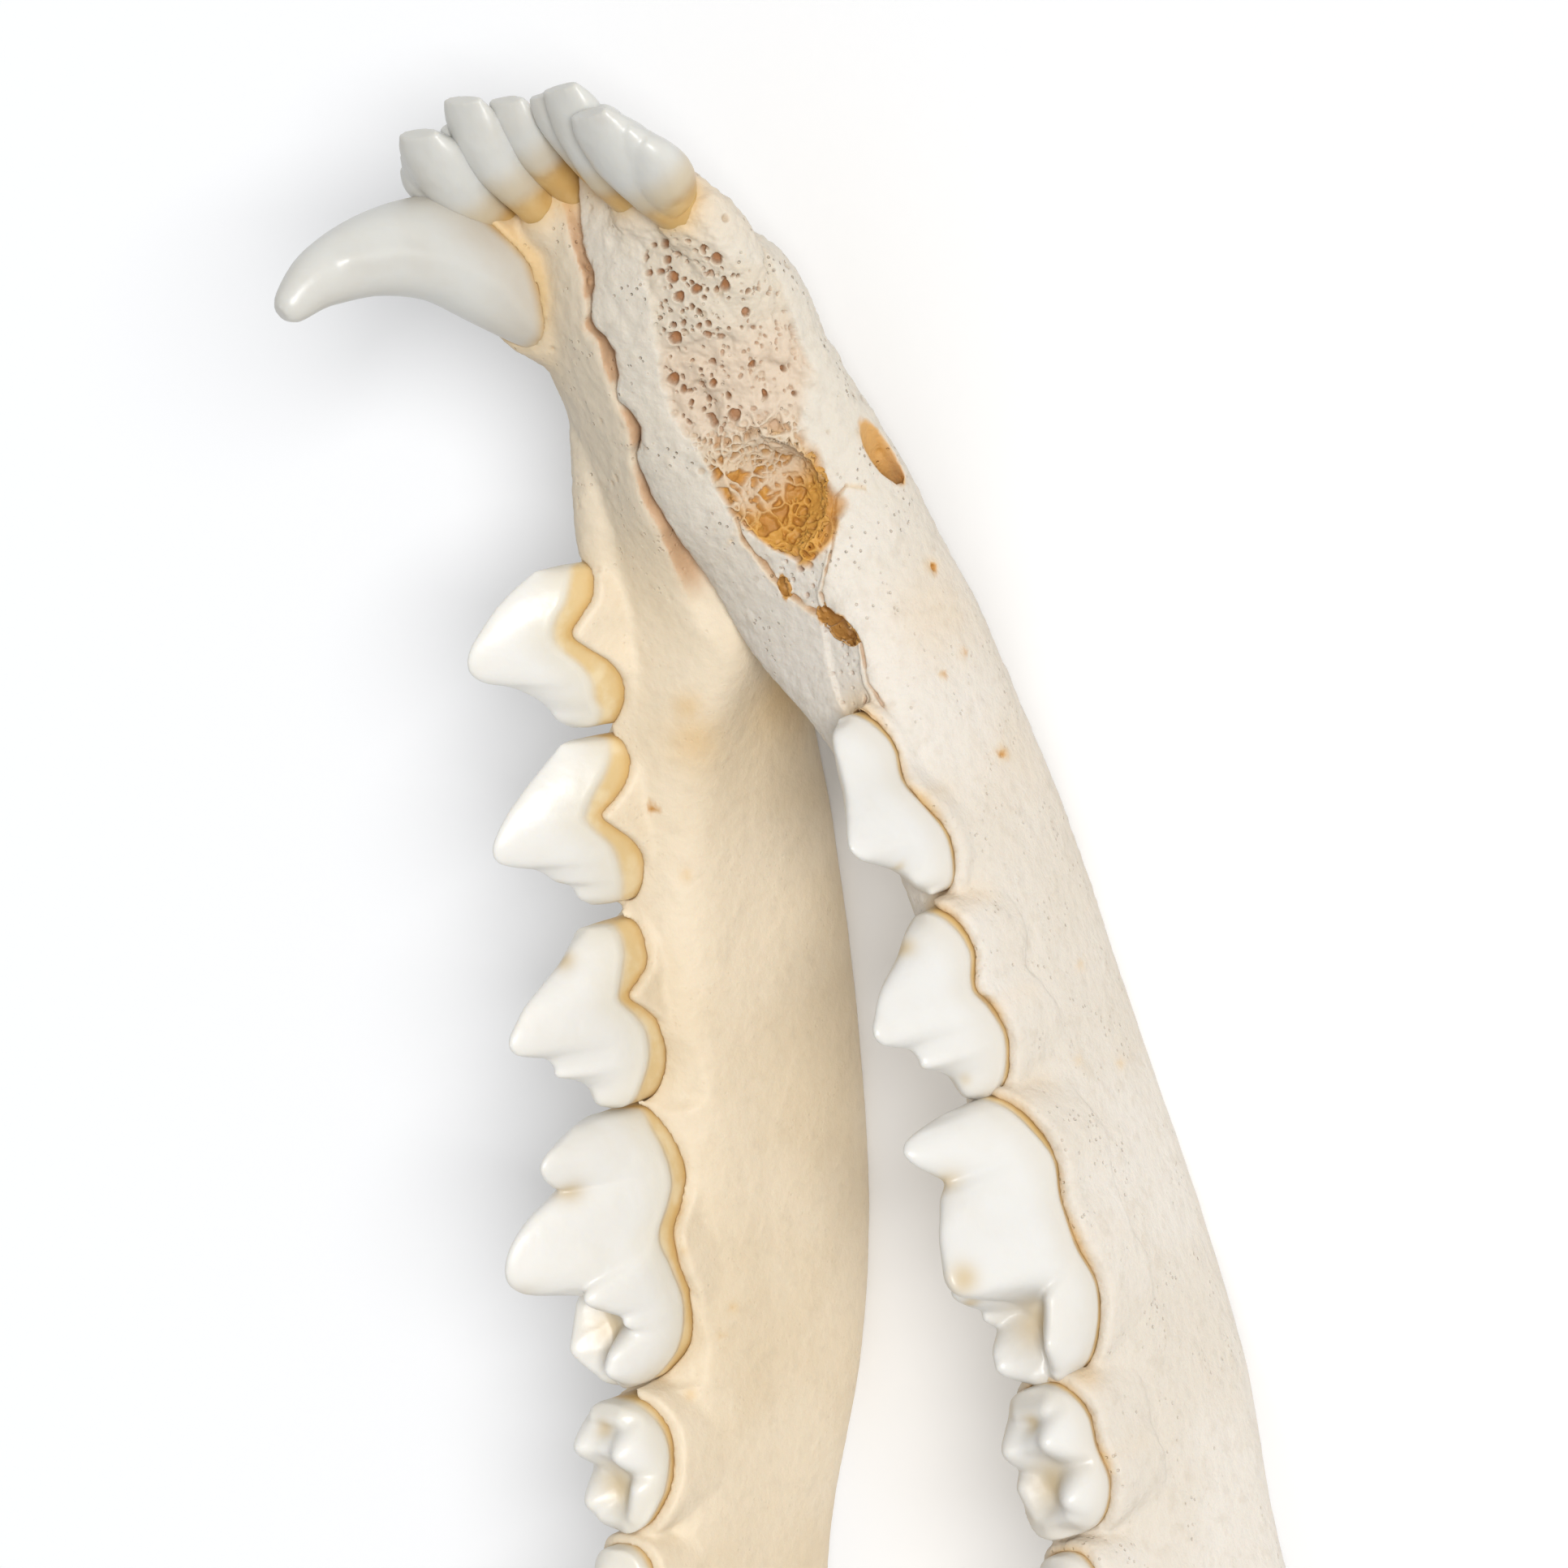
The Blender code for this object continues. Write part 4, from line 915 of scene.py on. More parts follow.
def ball(centre, half):
    bpy.ops.object.select_all(action="DESELECT")
    bpy.ops.mesh.primitive_ico_sphere_add(subdivisions=3, radius=1.0)
    piece = bpy.context.object
    move_points(piece, points(piece) * np.array(half) + np.array(centre))
    return piece


# %% [markdown]
# ## The bone at each tooth
# The bone stands up round every tooth in a thin collar with a wavy rim, and nothing may cover the tooth
# above that rim. The collar could be modelled as a ring with a hole. It is simpler to add a full block up
# to the rim, to clear the room above it, and to cut a socket that is a little wider than the root.

# %% Collar, clearing and socket
def rolled_at(name, size, rings):
    """Roll up rings that are given in a tooth's own frame."""
    return rolled(name, placed(tooth_frame(size), rings.reshape(-1, 3)).reshape(rings.shape))


def collar(size):
    """Bone that stands up round a tooth to its wavy rim, as slices across the tooth."""
    grow, beyond = 0.5, 0.45
    back, front = size["ends"]
    x = np.linspace(back - beyond, front + beyond, 70)
    half = np.maximum(half_width(size, np.clip(x, back, front), grow), 0.45 * grow + 0.1)
    half = half * ramp(back - beyond - 0.3, back, x) * ramp(front + beyond + 0.3, front, x)
    share = np.array([-1, -0.9, -0.5, 0, 0.5, 0.9, 1])
    y = half[:, None] * share
    wide = np.repeat(x[:, None], len(share), axis=1)
    rim = wavy_lines(size, wide, y)[0]
    low, high = rim - 4.0, rim - 0.3 * np.abs(share) ** 6
    under, over = np.stack([wide, y, low], 2), np.stack([wide, y, high], 2)
    return rolled_at("collar", size, np.concatenate([under, over[:, ::-1]], axis=1))


def above_rim(size):
    """The room above the rim, which is kept clear of bone and slopes down to both sides."""
    back, front = size["ends"]
    x = np.linspace(back - 0.2, front + 0.2, 60)
    half = np.maximum(half_width(size, np.clip(x, back + 0.3, front - 0.3)), 0.6)
    offsets, drops = np.array([-2.8, -1.4, -0.5, 0.0]), np.array([1.9, 0.8, 0.12, -0.05])
    wide = np.repeat(x[:, None], len(offsets), axis=1)
    sides = []
    for side in (-1, 1):
        y = side * (half[:, None] * 0.95 + 0.35 - offsets)
        rim = wavy_lines(size, wide, side * np.full_like(wide, size["width"]))[0]
        flank = np.stack([wide, y, rim - drops], 2)
        sides.append(flank if side < 0 else flank[:, ::-1])
    lid = [np.stack([x, s * (half * 0.95 + 3.15), np.full_like(x, 5.0)], 1)[:, None] for s in (1, -1)]
    return rolled_at("above_rim", size, np.concatenate(sides + lid, axis=1))


def socket(size):
    """Room for the root trunk, a little wider than it."""
    back, front = size["ends"]
    x = slices(dict(size, ends=(back - 0.02, front + 0.02)), 60)
    half = half_width(size, np.clip(x, back, front)) * 0.9 + 0.05
    steps = ((-1.2, -0.16), (-0.5, -0.12), (-0.1, -0.02), (0.5, 0.2))
    sides = []
    for side in (-1, 1):
        rim = wavy_lines(size, x, side * np.full_like(x, size["width"]))[0]
        flank = [np.stack([x, side * (half + flare), rim + lift], 1) for lift, flare in steps]
        sides.append(np.stack(flank if side > 0 else flank[::-1], axis=1))
    return rolled_at("socket", size, np.concatenate(sides, axis=1))


# %% [markdown]
# ## Swellings at the front
# The bone swells over the roots of the front teeth. On the left a crest runs back from the fang, and a
# ring of bone stands round it. They are short swept forms and balls that are joined to the body before
# it is remeshed, so that they melt into it. Between the left cheek teeth the rim dips in small saddles.

# %% Front swellings and saddles
LEFT_CREST = (
    (-9.0, 5.4, -1.3, 0.4, 0.5), (-12.0, 5.7, -0.7, 1.0, 1.2), (-16.0, 6.1, -0.6, 1.4, 1.5),
    (-20.0, 6.8, -0.7, 1.5, 1.5), (-23.4, 7.6, -1.4, 1.1, 1.2), (-26.0, 8.0, -2.4, 0.4, 0.5),
)
INCISOR_BULGE = (
    (-9.5, 6.2, -1.2, 1.6, 1.5), (-6.5, 6.4, 0.2, 1.8, 1.7), (-4.2, 6.3, 1.3, 1.7, 1.7),
    (-2.6, 6.2, 2.2, 1.2, 1.5),
)
NECK_SWELLINGS = (((-2.6, 3.1, 2.2), (1.9, 1.6, 1.6)), ((-3.2, 5.8, 2.0), (2.1, 1.5, 1.6)))
LEFT_SADDLES = ((-29.2, 10.7, 0.1), (-38.9, 12.7, 0.0), (-48.6, 14.1, 0.4), (-63.5, 15.5, 2.2))
SADDLE_HALF = (0.9, 2.0, 2.4)         # room between two of the left teeth, on the cheek's side


def fang_rim():
    """A ring of bone round the left fang, cut off at its neck."""
    ring = swept("fang_rim", FANG_LINE[:6], 50, 40, 0.3)
    bpy.ops.object.select_all(action="DESELECT")
    bpy.ops.mesh.primitive_cube_add(size=1.0)
    lid = bpy.context.object
    bpy.ops.object.mode_set(mode="EDIT")
    bpy.ops.mesh.subdivide(number_cuts=40)
    bpy.ops.object.mode_set(mode="OBJECT")
    p = points(lid) * 30 + (-6, 7, 15)
    p[:, 2] += fang_rim_height(p[:, 0])
    move_points(lid, p)
    carve(ring, lid)
    return ring


# %% [markdown]
# ## One bone at a time
# Both bones are made as left ones, and the right one is mirrored at the end, so that one function serves
# for both. The order matters: forms, skin, room for the teeth, collars, skin again, and only then the
# sockets and holes, whose edges should stay crisp. The last remesh is the finest.

# %% Bones
def jaw_bone(name, names, side):
    """One jaw bone in millimetres, carved but not yet weathered. The right one is made as a left one."""
    sizes = [size_of(n, side) for n in names]
    forms = [rolled("body", body_rings(side)), rolled("plate", ramus_rings())]
    forms += [swept("hook", HOOK_LINE, 40, 36), swept("stalk", STALK_LINE, 30, 36)]
    forms += [swept("swelling", SWELLING_LINE, 40, 40), joint_bar()]
    forms += [swept("incisor_bulge", INCISOR_BULGE, 30, 30)]
    forms += [ball(centre, half) for centre, half in NECK_SWELLINGS]
    if side > 0:
        forms += [swept("crest", LEFT_CREST, 30, 30), fang_rim()]
    bone = join(forms, name)
    remesh(bone, 0.2)
    smooth(bone, 5)
    clearing = join([above_rim(size) for size in sizes], "clearing")
    remesh(clearing, 0.2)
    carve(bone, clearing)
    bone = join([bone] + [collar(size) for size in sizes], name)
    remesh(bone, 0.16)
    smooth(bone, 4)
    cutters = [socket(size) for size in sizes] + [swept("nerve", NERVE_HOLE, 30, 24)]
    cutters += [ball(centre, half) for centre, half in PITS[side]]
    if side > 0:
        cutters.append(swept("fang_room", FANG_LINE, 60, 40, -0.06))
        cutters += [ball(centre, SADDLE_HALF) for centre in LEFT_SADDLES]
    else:
        cutters.append(swept("open_pocket", OPEN_POCKET, 60, 40))
    cutter = join(cutters, "cutter")
    remesh(cutter, 0.12)
    carve(bone, cutter)
    remesh(bone, 0.13)
    smooth(bone, 1)
    return bone


left_bone = jaw_bone("left_jaw_bone", LEFT_CHEEK_TEETH, 1)
right_bone = jaw_bone("right_jaw_bone", RIGHT_CHEEK_TEETH, -1)
print("bone triangles", triangle_count(left_bone), triangle_count(right_bone))

# %% [markdown]
# ## What is seen on the skin
# The photo shows two cracks behind the open pocket, round openings in the spongy floor in front of it,
# and amber specks. They could come from noise, but these are the marks by which this jaw is known, so
# their places were measured in the photo. Their depth is less sure than their place in the picture, so
# the distance from them is measured as the camera sees it.

# %% Lines and spots on the skin
SIGHT = np.array((-0.158, 0.674, -0.721))     # from the camera into the picture
MEDIAL_CRACK = (
    (-18.8, 3.7, 0.8), (-19.9, 3.7, 0.6), (-21.0, 4.0, 0.2), (-22.1, 4.6, 0.0), (-22.9, 5.1, -0.2),
    (-23.7, 5.9, -0.4), (-24.2, 6.7, -0.5),
)
CHEEK_CRACK = (
    (-18.2, 8.2, -2.8), (-18.6, 8.0, -2.2), (-19.7, 8.0, -1.7), (-20.9, 7.9, -1.2), (-21.9, 7.6, -0.7),
    (-23.1, 7.0, -0.6), (-24.0, 7.1, -0.6), (-24.8, 8.3, -0.8), (-25.8, 8.7, -0.9), (-27.8, 8.6, -0.9),
    (-29.5, 9.7, -0.9),
)
AMBER_LINES = (
    ((-18.2, 8.2, -2.8), (-18.5, 8.4, -3.6), (-18.9, 8.5, -4.5), (-19.6, 8.4, -6.4),
     (-20.7, 8.0, -8.2)),
    ((-19.1, 3.8, 0.7), (-19.9, 2.9, 0.6), (-21.0, 1.3, 0.3)),
)
OPENINGS = (      # in the spongy floor: x, y, z and radius
    (-4.6, 4.1, 2.3, 0.19), (-5.4, 4.1, 2.4, 0.13), (-5.9, 3.6, 2.5, 0.17), (-6.3, 4.3, 2.4, 0.27),
    (-7.3, 4.4, 2.4, 0.23), (-7.0, 5.4, 2.1, 0.23), (-7.9, 4.9, 2.2, 0.13), (-8.2, 5.2, 2.1, 0.13),
    (-4.1, 6.4, 2.0, 0.19), (-5.1, 6.2, 1.9, 0.17), (-5.7, 6.9, 1.8, 0.30), (-7.1, 6.9, 1.7, 0.25),
    (-5.1, 2.9, 2.6, 0.15), (-5.9, 3.0, 2.7, 0.15), (-11.9, 4.5, 1.4, 0.19), (-12.7, 3.1, 1.8, 0.11),
    (-13.7, 3.8, 1.3, 0.19), (-12.7, 5.0, 1.1, 0.15), (-7.4, 3.6, 2.6, 0.11), (-8.8, 5.5, 1.9, 0.12),
    (-8.6, 4.2, 2.3, 0.13), (-8.9, 4.9, 2.0, 0.12), (-7.2, 6.4, 1.8, 0.11), (-11.4, 2.6, 2.2, 0.28),
    (-12.0, 3.0, 2.0, 0.15), (-9.4, 3.5, 2.4, 0.29), (-11.9, 4.0, 1.7, 0.12), (-12.8, 3.9, 1.5, 0.12),
    (-13.7, 5.0, 0.9, 0.30), (-11.3, 6.8, 0.7, 0.16), (-14.5, 6.8, 0.0, 0.29), (-13.9, 3.9, 1.3, 0.22),
    (-14.7, 4.0, 1.1, 0.16), (-15.8, 5.6, 0.2, 0.33), (-16.6, 4.9, 0.4, 0.25), (-16.2, 3.6, 1.0, 0.25),
    (-9.8, 8.9, 0.4, 0.25), (-9.2, 9.1, 0.6, 0.33), (-11.7, 8.4, -0.1, 0.14), (-13.0, 8.3, -0.4, 0.12),
    (-15.6, 8.8, -1.1, 0.14), (-12.9, 6.8, 0.2, 0.16), (-26.1, 6.9, -0.7, 0.13),
    (-26.4, 7.6, -0.7, 0.15), (-26.6, 8.3, -0.7, 0.22), (-27.1, 8.0, -0.7, 0.12),
    (-22.9, 7.2, -0.5, 0.12), (-23.6, 7.3, -0.6, 0.15), (-21.4, 7.5, -0.7, 0.20),
    (-28.1, 7.6, -0.8, 0.14), (-28.6, 8.2, -0.9, 0.15), (-21.8, 6.1, -0.3, 0.10),
)
FLECKS = {        # amber specks: x, y, z, radius and strength, on the animal's left or right
    1: (
        (-1.3, 1.6, 2.7, 1.3, 0.8), (-1.8, 4.9, 2.8, 0.8, 0.75), (-2.6, 4.9, 4.0, 0.9, 0.6),
        (0.8, 0.8, 2.6, 1.1, 0.6), (-29.3, 4.0, -8.1, 2.4, 0.6), (-37.4, 7.3, -2.1, 0.3, 0.6),
        (-61.5, 10.9, -1.5, 0.18, 0.6), (-60.3, 10.5, -2.4, 0.25, 0.6), (-64.1, 12.0, 0.5, 0.3, 0.6),
        (-56.7, 11.3, -0.5, 0.2, 0.6), (-30.4, 5.0, -2.2, 1.3, 0.6), (-28.6, 4.4, -1.6, 0.8, 0.6),
    ),
    -1: (
        (0.8, 0.8, 2.6, 1.1, 0.6), (-25.6, 9.7, -5.4, 2.4, 0.22), (-33.5, 11.0, -7.5, 2.6, 0.1),
        (-62.9, 15.3, 1.0, 0.8, 0.6), (-61.9, 15.8, 2.3, 0.5, 0.6), (-49.4, 13.1, -0.2, 0.8, 0.6),
        (-48.4, 14.0, -4.7, 0.2, 0.6), (-49.5, 13.4, -8.5, 0.25, 0.6), (-44.2, 12.8, -7.6, 0.2, 0.6),
        (-23.3, 9.0, -6.8, 0.4, 0.6), (-33.1, 10.9, -7.2, 0.4, 0.6), (-28.4, 10.3, -4.6, 0.2, 0.6),
        (-27.7, 9.9, -6.8, 0.2, 0.6),
    ),
}
SPONGE_EDGE = (   # x, and y where the spongy floor begins and ends
    (-4.0, 3.9, 6.4), (-5.0, 3.1, 7.4), (-7.5, 3.0, 8.6), (-9.7, 2.9, 8.7), (-11.4, 2.4, 8.4),
    (-13.5, 2.5, 7.9), (-14.9, 3.1, 7.6), (-17.0, 3.3, 7.7), (-19.1, 3.9, 8.2), (-20.4, 4.9, 7.9),
    (-21.4, 6.0, 7.0),
)
print("openings", len(OPENINGS), "flecks", len(FLECKS[1]) + len(FLECKS[-1]))


def near_line(p, line, sight):
    """Distance from a line as seen along the sight. Depth counts only where it is over 1.2 mm off."""
    best = np.full(len(p), 99.0)
    for a, b in zip(line[:-1], line[1:]):
        a, b = np.array(a), np.array(b)
        share = np.clip((p - a) @ (b - a) / max((b - a) @ (b - a), 1e-9), 0, 1)
        off = p - a - share[:, None] * (b - a)
        along = off @ sight
        across = np.linalg.norm(off - along[:, None] * sight, axis=1)
        best = np.minimum(best, np.hypot(across, np.maximum(np.abs(along) - 1.2, 0)))
    return best


def root_stain(p, names, side):
    """Amber along the teeth, broad in front of each root and faint elsewhere."""
    most = np.zeros(len(p))
    for name in names:
        size = size_of(name, side)
        local = unplaced(tooth_frame(size), p)
        back, front = size["ends"]
        around = (np.abs(2 * local[:, 0] - front - back) / (front - back)) ** BULGE
        around = (around + (np.abs(local[:, 1]) / (size["width"] / 2)) ** BULGE) ** (1 / BULGE)
        far = np.maximum(around - 0.9, 0) * size["width"] / 2
        rim = wavy_lines(size, local[:, 0], local[:, 1])[0]
        far = np.hypot(far, np.maximum(np.abs(local[:, 2] - rim + 1.5) - 1.6, 0))
        share = (local[:, 0] - back) / (front - back)
        ahead = np.maximum(ramp(0.72, 1.0, share), ramp(0.25, 0.42, share) * ramp(0.58, 0.46, share))
        reach = 0.12 + 0.3 * ahead * (side < 0)
        most = np.maximum(most, (0.35 + 0.6 * ahead) * np.exp(-(far / reach) ** 2))
    return most


# %% [markdown]
# ## The spongy floor and the cracks
# Where the right fang is lost, the spongy inside shows: round openings in front, and behind them a net of
# thin bars over a deep amber pocket. The openings are measured or scattered points with a radius each.
# The bars are the places that are about as far from one scattered point as from the next, as the walls
# of foam are. Each function returns how deep the skin sinks and how dark and how amber it gets, so that
# form and colour agree.
# The darkness in the holes and hollows is their own brown, deepened as painted shade.

# %% Sponge
def round_holes(p, spacing, seed, smallest, largest, share):
    """1 inside scattered round holes of different radii."""
    first, _, own = cells(p, spacing, seed)
    radius = smallest + (largest - smallest) * own / share
    return ramp(radius + 0.05, radius - 0.03, first) * (own < share)


def sponge(p, sight):
    """How far each point of the right front lies in the spongy floor, how deep it goes, how dark its holes
    and hollows are painted (their own brown and painted shade), and its amber and rosy tints.
    """
    bent = p + 0.09 * np.column_stack([field(p, 0.3, seed) for seed in (201, 202, 203)])
    x, y = p[:, 0], p[:, 1] + 0.3 * rough(p, 1.0, 91, 2)
    begins, ends = curve(SPONGE_EDGE, np.clip(x, -21.4, -4.0)).T
    inside = ramp(-0.15, 0.25, y - begins) * ramp(-0.15, 0.25, ends - y)
    inside = inside * ramp(-3.7, -4.3, x) * ramp(-22.0, -21.3, x)
    rear, middle = ramp(-13.2, -15.5, x), ramp(-8.0, -11.0, x) * ramp(-15.5, -13.5, x)
    dense = ramp(-0.85, -0.1, field(p, 1.7, 93) + 0.5 * ramp(-6, -10, x))
    dense = dense * (1 - 0.6 * middle * ramp(4.8, 6.0, y))
    small, large = round_holes(bent, 0.36, 81, 0.05, 0.11, 0.6), round_holes(bent, 0.85, 85, 0.1, 0.2, 0.35)
    holes = np.maximum(small, large) * dense
    for *centre, radius in OPENINGS:
        far = near_line(bent, (centre, centre), sight)
        holes = np.maximum(holes * (0.1 + 0.9 * inside), ramp(radius + 0.06, radius - 0.05, far))
    wide = cells(bent, 1.0, 83)
    fine = cells(bent, 0.5, 87)
    kept = ramp(-0.45, 0.0, field(p, 0.7, 89))
    bars = np.maximum(ramp(0.22, 0.06, wide[1] - wide[0]), ramp(0.17, 0.04, fine[1] - fine[0]) * kept)
    bars *= ramp(7.9, 7.2, p[:, 1])
    hollow = (1 - bars) * rear * inside
    holes = holes * (1 - rear * inside)
    dents = ramp(-0.1, 0.6, field(p, 1.0, 95)) * middle * inside
    depth = 0.5 * holes + (0.2 + 0.25 * ramp(0.1, 0.35, wide[0])) * hollow + 0.3 * dents
    depth += inside * (1 - rear) * (0.08 + 0.2 * ramp(-6, -11, x) + 0.15 * rough(p, 0.8, 99))
    wall = ramp(0.4, 0.1, far_from_lines(p, [OPEN_POCKET])) * ramp(-14.4, -15.8, x) * ramp(6.6, 7.3, y)
    pale_bars = 0.7 * bars * ramp(-18.5, -16.0, x + 0.8 * (6 - y))
    amber = np.maximum(inside * ramp(-13.5, -16.5, x) * (1 - pale_bars), 0.9 * wall)
    # dark: holes, and the cells between the bars, darker deeper into each cell: their own brown and painted
    # shade
    dark = np.maximum(holes, hollow * (0.1 + 0.4 * ramp(0.12, 0.3, fine[0])))
    return inside, depth, dark, amber, middle * inside


# %% Cracks
def cracked(p, sight):
    """Depth, stain and dark core of the two cracks and of the sunken piece between them."""
    jitter = 0.05 * field(p, 0.4, 103)
    medial = near_line(p, MEDIAL_CRACK, sight) + jitter
    cheek = near_line(p, CHEEK_CRACK, sight) + jitter
    thin = np.exp(-(medial / 0.07) ** 2) + 0.7 * np.exp(-(cheek / 0.06) ** 2)
    stain = 0.6 * np.exp(-(medial / 0.13) ** 2) + 0.4 * np.exp(-(cheek / 0.1) ** 2)
    x = np.clip(p[:, 0], -29.5, -18.8)
    medial_ends = [(-26.0, 6.5), (-28.4, 6.6), (-29.6, 7.2)]
    low_y = curve([(a, b) for a, b, c in MEDIAL_CRACK] + medial_ends, x)[:, 0]
    high_y = curve([(a, b) for a, b, c in CHEEK_CRACK[1:]], np.clip(x, -29.5, -18.6))[:, 0]
    between = ramp(0.0, 0.25, p[:, 1] - low_y) * ramp(0.0, 0.25, high_y - p[:, 1])
    between *= ramp(-2.2, -1.6, p[:, 2])
    between *= ramp(-20.6, -21.4, p[:, 0]) * ramp(-29.6, -28.8, p[:, 0])
    small = round_holes(p, 0.4, 107, 0.05, 0.11, 0.5) * between
    depth = 0.34 * thin + between * 0.22 + 0.3 * small
    for line in AMBER_LINES:
        far = near_line(p, line, sight) + jitter
        stain = np.maximum(stain, 0.4 * np.exp(-(far / 0.14) ** 2))
        depth = depth + 0.08 * np.exp(-(far / 0.08) ** 2)
    return depth, np.clip(stain, 0, 1), np.clip(np.maximum(0.7 * thin, 0.7 * small), 0, 1)


# %% [markdown]
# ## Fine points where they are needed
# A pore is 0.2 mm wide, and a whole bone with points as close as that would be far too heavy. So only the
# top of the right front is subdivided, and it is spared when the rest is thinned out to MOST_TRIANGLES.
# The limit of triangles is what one piece of the library may have, with a little room.

# %% Fine front
MOST_TRIANGLES = 190000               # in one bone
FRONT_DEPTH = 4.2                     # mm, how far the fine relief goes down the bone's flanks


def near_top(p):
    """Which points are at most FRONT_DEPTH below the bone's upper line."""
    surface = curve(BODY_STATIONS, np.clip(p[:, 0], -31, 0.9))[:, 1]
    return p[:, 2] > surface - FRONT_DEPTH


def refine_front(bone):
    """Subdivide the top of the right front twice as fine."""
    p = points(bone)
    chosen = (p[:, 0] > -29.8) & (p[:, 0] < -3.2) & (p[:, 1] > 1.2) & (p[:, 1] < 9.6) & near_top(p)
    activate(bone)
    bpy.ops.object.mode_set(mode="EDIT")
    bpy.ops.mesh.select_mode(type="VERT")
    bpy.ops.mesh.select_all(action="DESELECT")
    bpy.ops.object.mode_set(mode="OBJECT")
    bone.data.vertices.foreach_set("select", chosen)
    bpy.ops.object.mode_set(mode="EDIT")
    bpy.ops.mesh.select_mode(type="FACE")
    bpy.ops.mesh.subdivide(number_cuts=1)
    bpy.ops.mesh.quads_convert_to_tris()
    bpy.ops.object.mode_set(mode="OBJECT")


def keep_front(bone, kept):
    """A vertex group that lets the thinning pass only where kept is 0."""
    group = bone.vertex_groups.new(name="free")
    group.add([int(i) for i in np.nonzero(~kept)[0]], 1.0, "REPLACE")
    group.add([int(i) for i in np.nonzero(kept)[0]], 0.0, "REPLACE")
    return group.name


# %% [markdown]
# ## Weathering the bone
# Every point of the skin is now moved in or out by noise: slow swells all over, a fine grain along the
# bone, a rough chin, and pits. The same could be left to a bump in the finish, but then the silhouette
# would stay smooth. What the noise does is also stored as numbers on the points, so that the colours
# follow the same pits and stains.
# Pits and holes are also darkened: their own brown and painted shade.

# %% Relief, stains and the seam's walls
def relief(p, chin, side):
    """Millimetres that noise moves each point out: swells, a grain along the bone and fine sand."""
    amount = 0.07 * rough(p, 7.0, 61) + (0.02 + 0.05 * chin) * rough(p, 1.7, 64)
    grain = np.column_stack([p[:, 0] / 3.5, p[:, 1], p[:, 2]])
    amount += 0.012 * rough(grain, 0.6, 67, 2)
    sandy = 0.045 * ramp(-62, -34, p[:, 0]) * (side < 0)
    amount += (0.012 + 0.045 * chin + sandy) * rough(p, 0.45, 70, 2)
    return amount


def stains(p, names, side, sight):
    """How amber each point is, at the cheek teeth's roots, the flecks and the front teeth's roots."""
    stain = root_stain(p, names, side)
    for *centre, radius, strength in FLECKS[side]:
        far = near_line(p, (centre, centre), sight)
        stain = np.maximum(stain, strength * np.exp(-(far / radius) ** 2))
    front = p[:, 0] > -12
    lines = [INCISORS[name][0][:2] for name in INCISORS] + ([FANG_LINE[1:5]] if side > 0 else [])
    far = np.maximum(far_from_lines(p[front], lines), 0)
    stain[front] = np.maximum(stain[front], 0.85 * np.exp(-far / 0.5))
    return stain


def seam_stain(p, n, side):
    """How much each point belongs to the walls of the chin's seam, most where it gapes."""
    wander, gape = curve(SEAM_LINE, np.clip(p[:, 0], -26, 1)).T
    wall = np.maximum(p[:, 1] - wander * side - gape / 2, 0)
    seam = np.maximum(ramp(0.35, 0.75, -n[:, 1]) * ramp(0.9, 0.4, wall), 0.35 * np.exp(-wall / 0.15))
    seam *= ramp(-23.5, -21, p[:, 0])
    seam *= 0.2 + 0.8 * ramp(0.12, 0.5, gape)
    return seam


# %% Weathering
def weather(bone, names, side):
    """Move and mark the points of one bone, thin it out and mirror it if it is the right one."""
    if side < 0:
        refine_front(bone)
    p, n = points(bone), normals(bone)
    sight = SIGHT * (1, side, 1)
    chin = ramp(-27, -14, p[:, 0])
    amount = relief(p, chin, side)
    first, _, own = cells(p, 1.15, 73)
    # pores: small pits on the chin, pressed in and tinted brown: their own colour and painted shade
    pore = ramp(0.22, 0.08, first - 0.05 * own) * (own > 0.6) * chin
    stain = stains(p, names, side, sight)
    seam = seam_stain(p, n, side)
    deep = np.zeros(len(p))
    # pit walls painted darker: their own brown and painted shade
    for centre, half in PITS[side]:
        deep = np.maximum(deep, 0.4 * ramp(1.25, 1.02, np.linalg.norm((p - centre) / half, axis=1)))
    from_nerve = far_from_lines(p, [NERVE_HOLE])
    nerve = 0.9 * ramp(0.14, -0.02, from_nerve) * ramp(-13.4, -14.0, p[:, 0])
    spongy, rosy, amber = np.zeros(len(p)), np.zeros(len(p)), np.maximum(nerve, 2.4 * deep)
    amount *= 1 - ramp(0.4, 0.1, from_nerve)
    kept = np.zeros(len(p), bool)
    if side < 0:
        kept = (p[:, 0] > -30) & (p[:, 0] < -2.5) & (n @ -sight > -0.3) & (p[:, 1] < 9.7)
        kept &= (from_nerve > 0.3) & near_top(p)
        q = p[kept]
        spongy[kept], sunk, hollow, honey, rosy[kept] = sponge(q, sight)
        amber[kept] = np.maximum(amber[kept], honey)
        cuts, lines_stain, core = cracked(q, sight)
        amount[kept] -= sunk + cuts
        stain[kept] = np.maximum(stain[kept], lines_stain)
        # darkness of holes, hollows and crack cores: their own brown and painted shade
        deep[kept] = np.maximum(np.maximum(deep[kept], hollow), core)
    amount -= 0.14 * pore
    move_points(bone, p + n * amount[:, None])
    marks = {"stain": stain, "seam": seam, "deep": deep, "pore": pore, "chin": chin,
             "spongy": spongy, "rosy": rosy, "amber": amber}
    for name, values in marks.items():
        paint(bone, name, values)
    group = keep_front(bone, kept & (spongy + deep + stain > 0.03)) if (side < 0) else ""
    thin_out(bone, MOST_TRIANGLES, group)
    if side < 0:
        p = points(bone)
        p[:, 1] *= -1
        move_points(bone, p)
        bone.data.flip_normals()


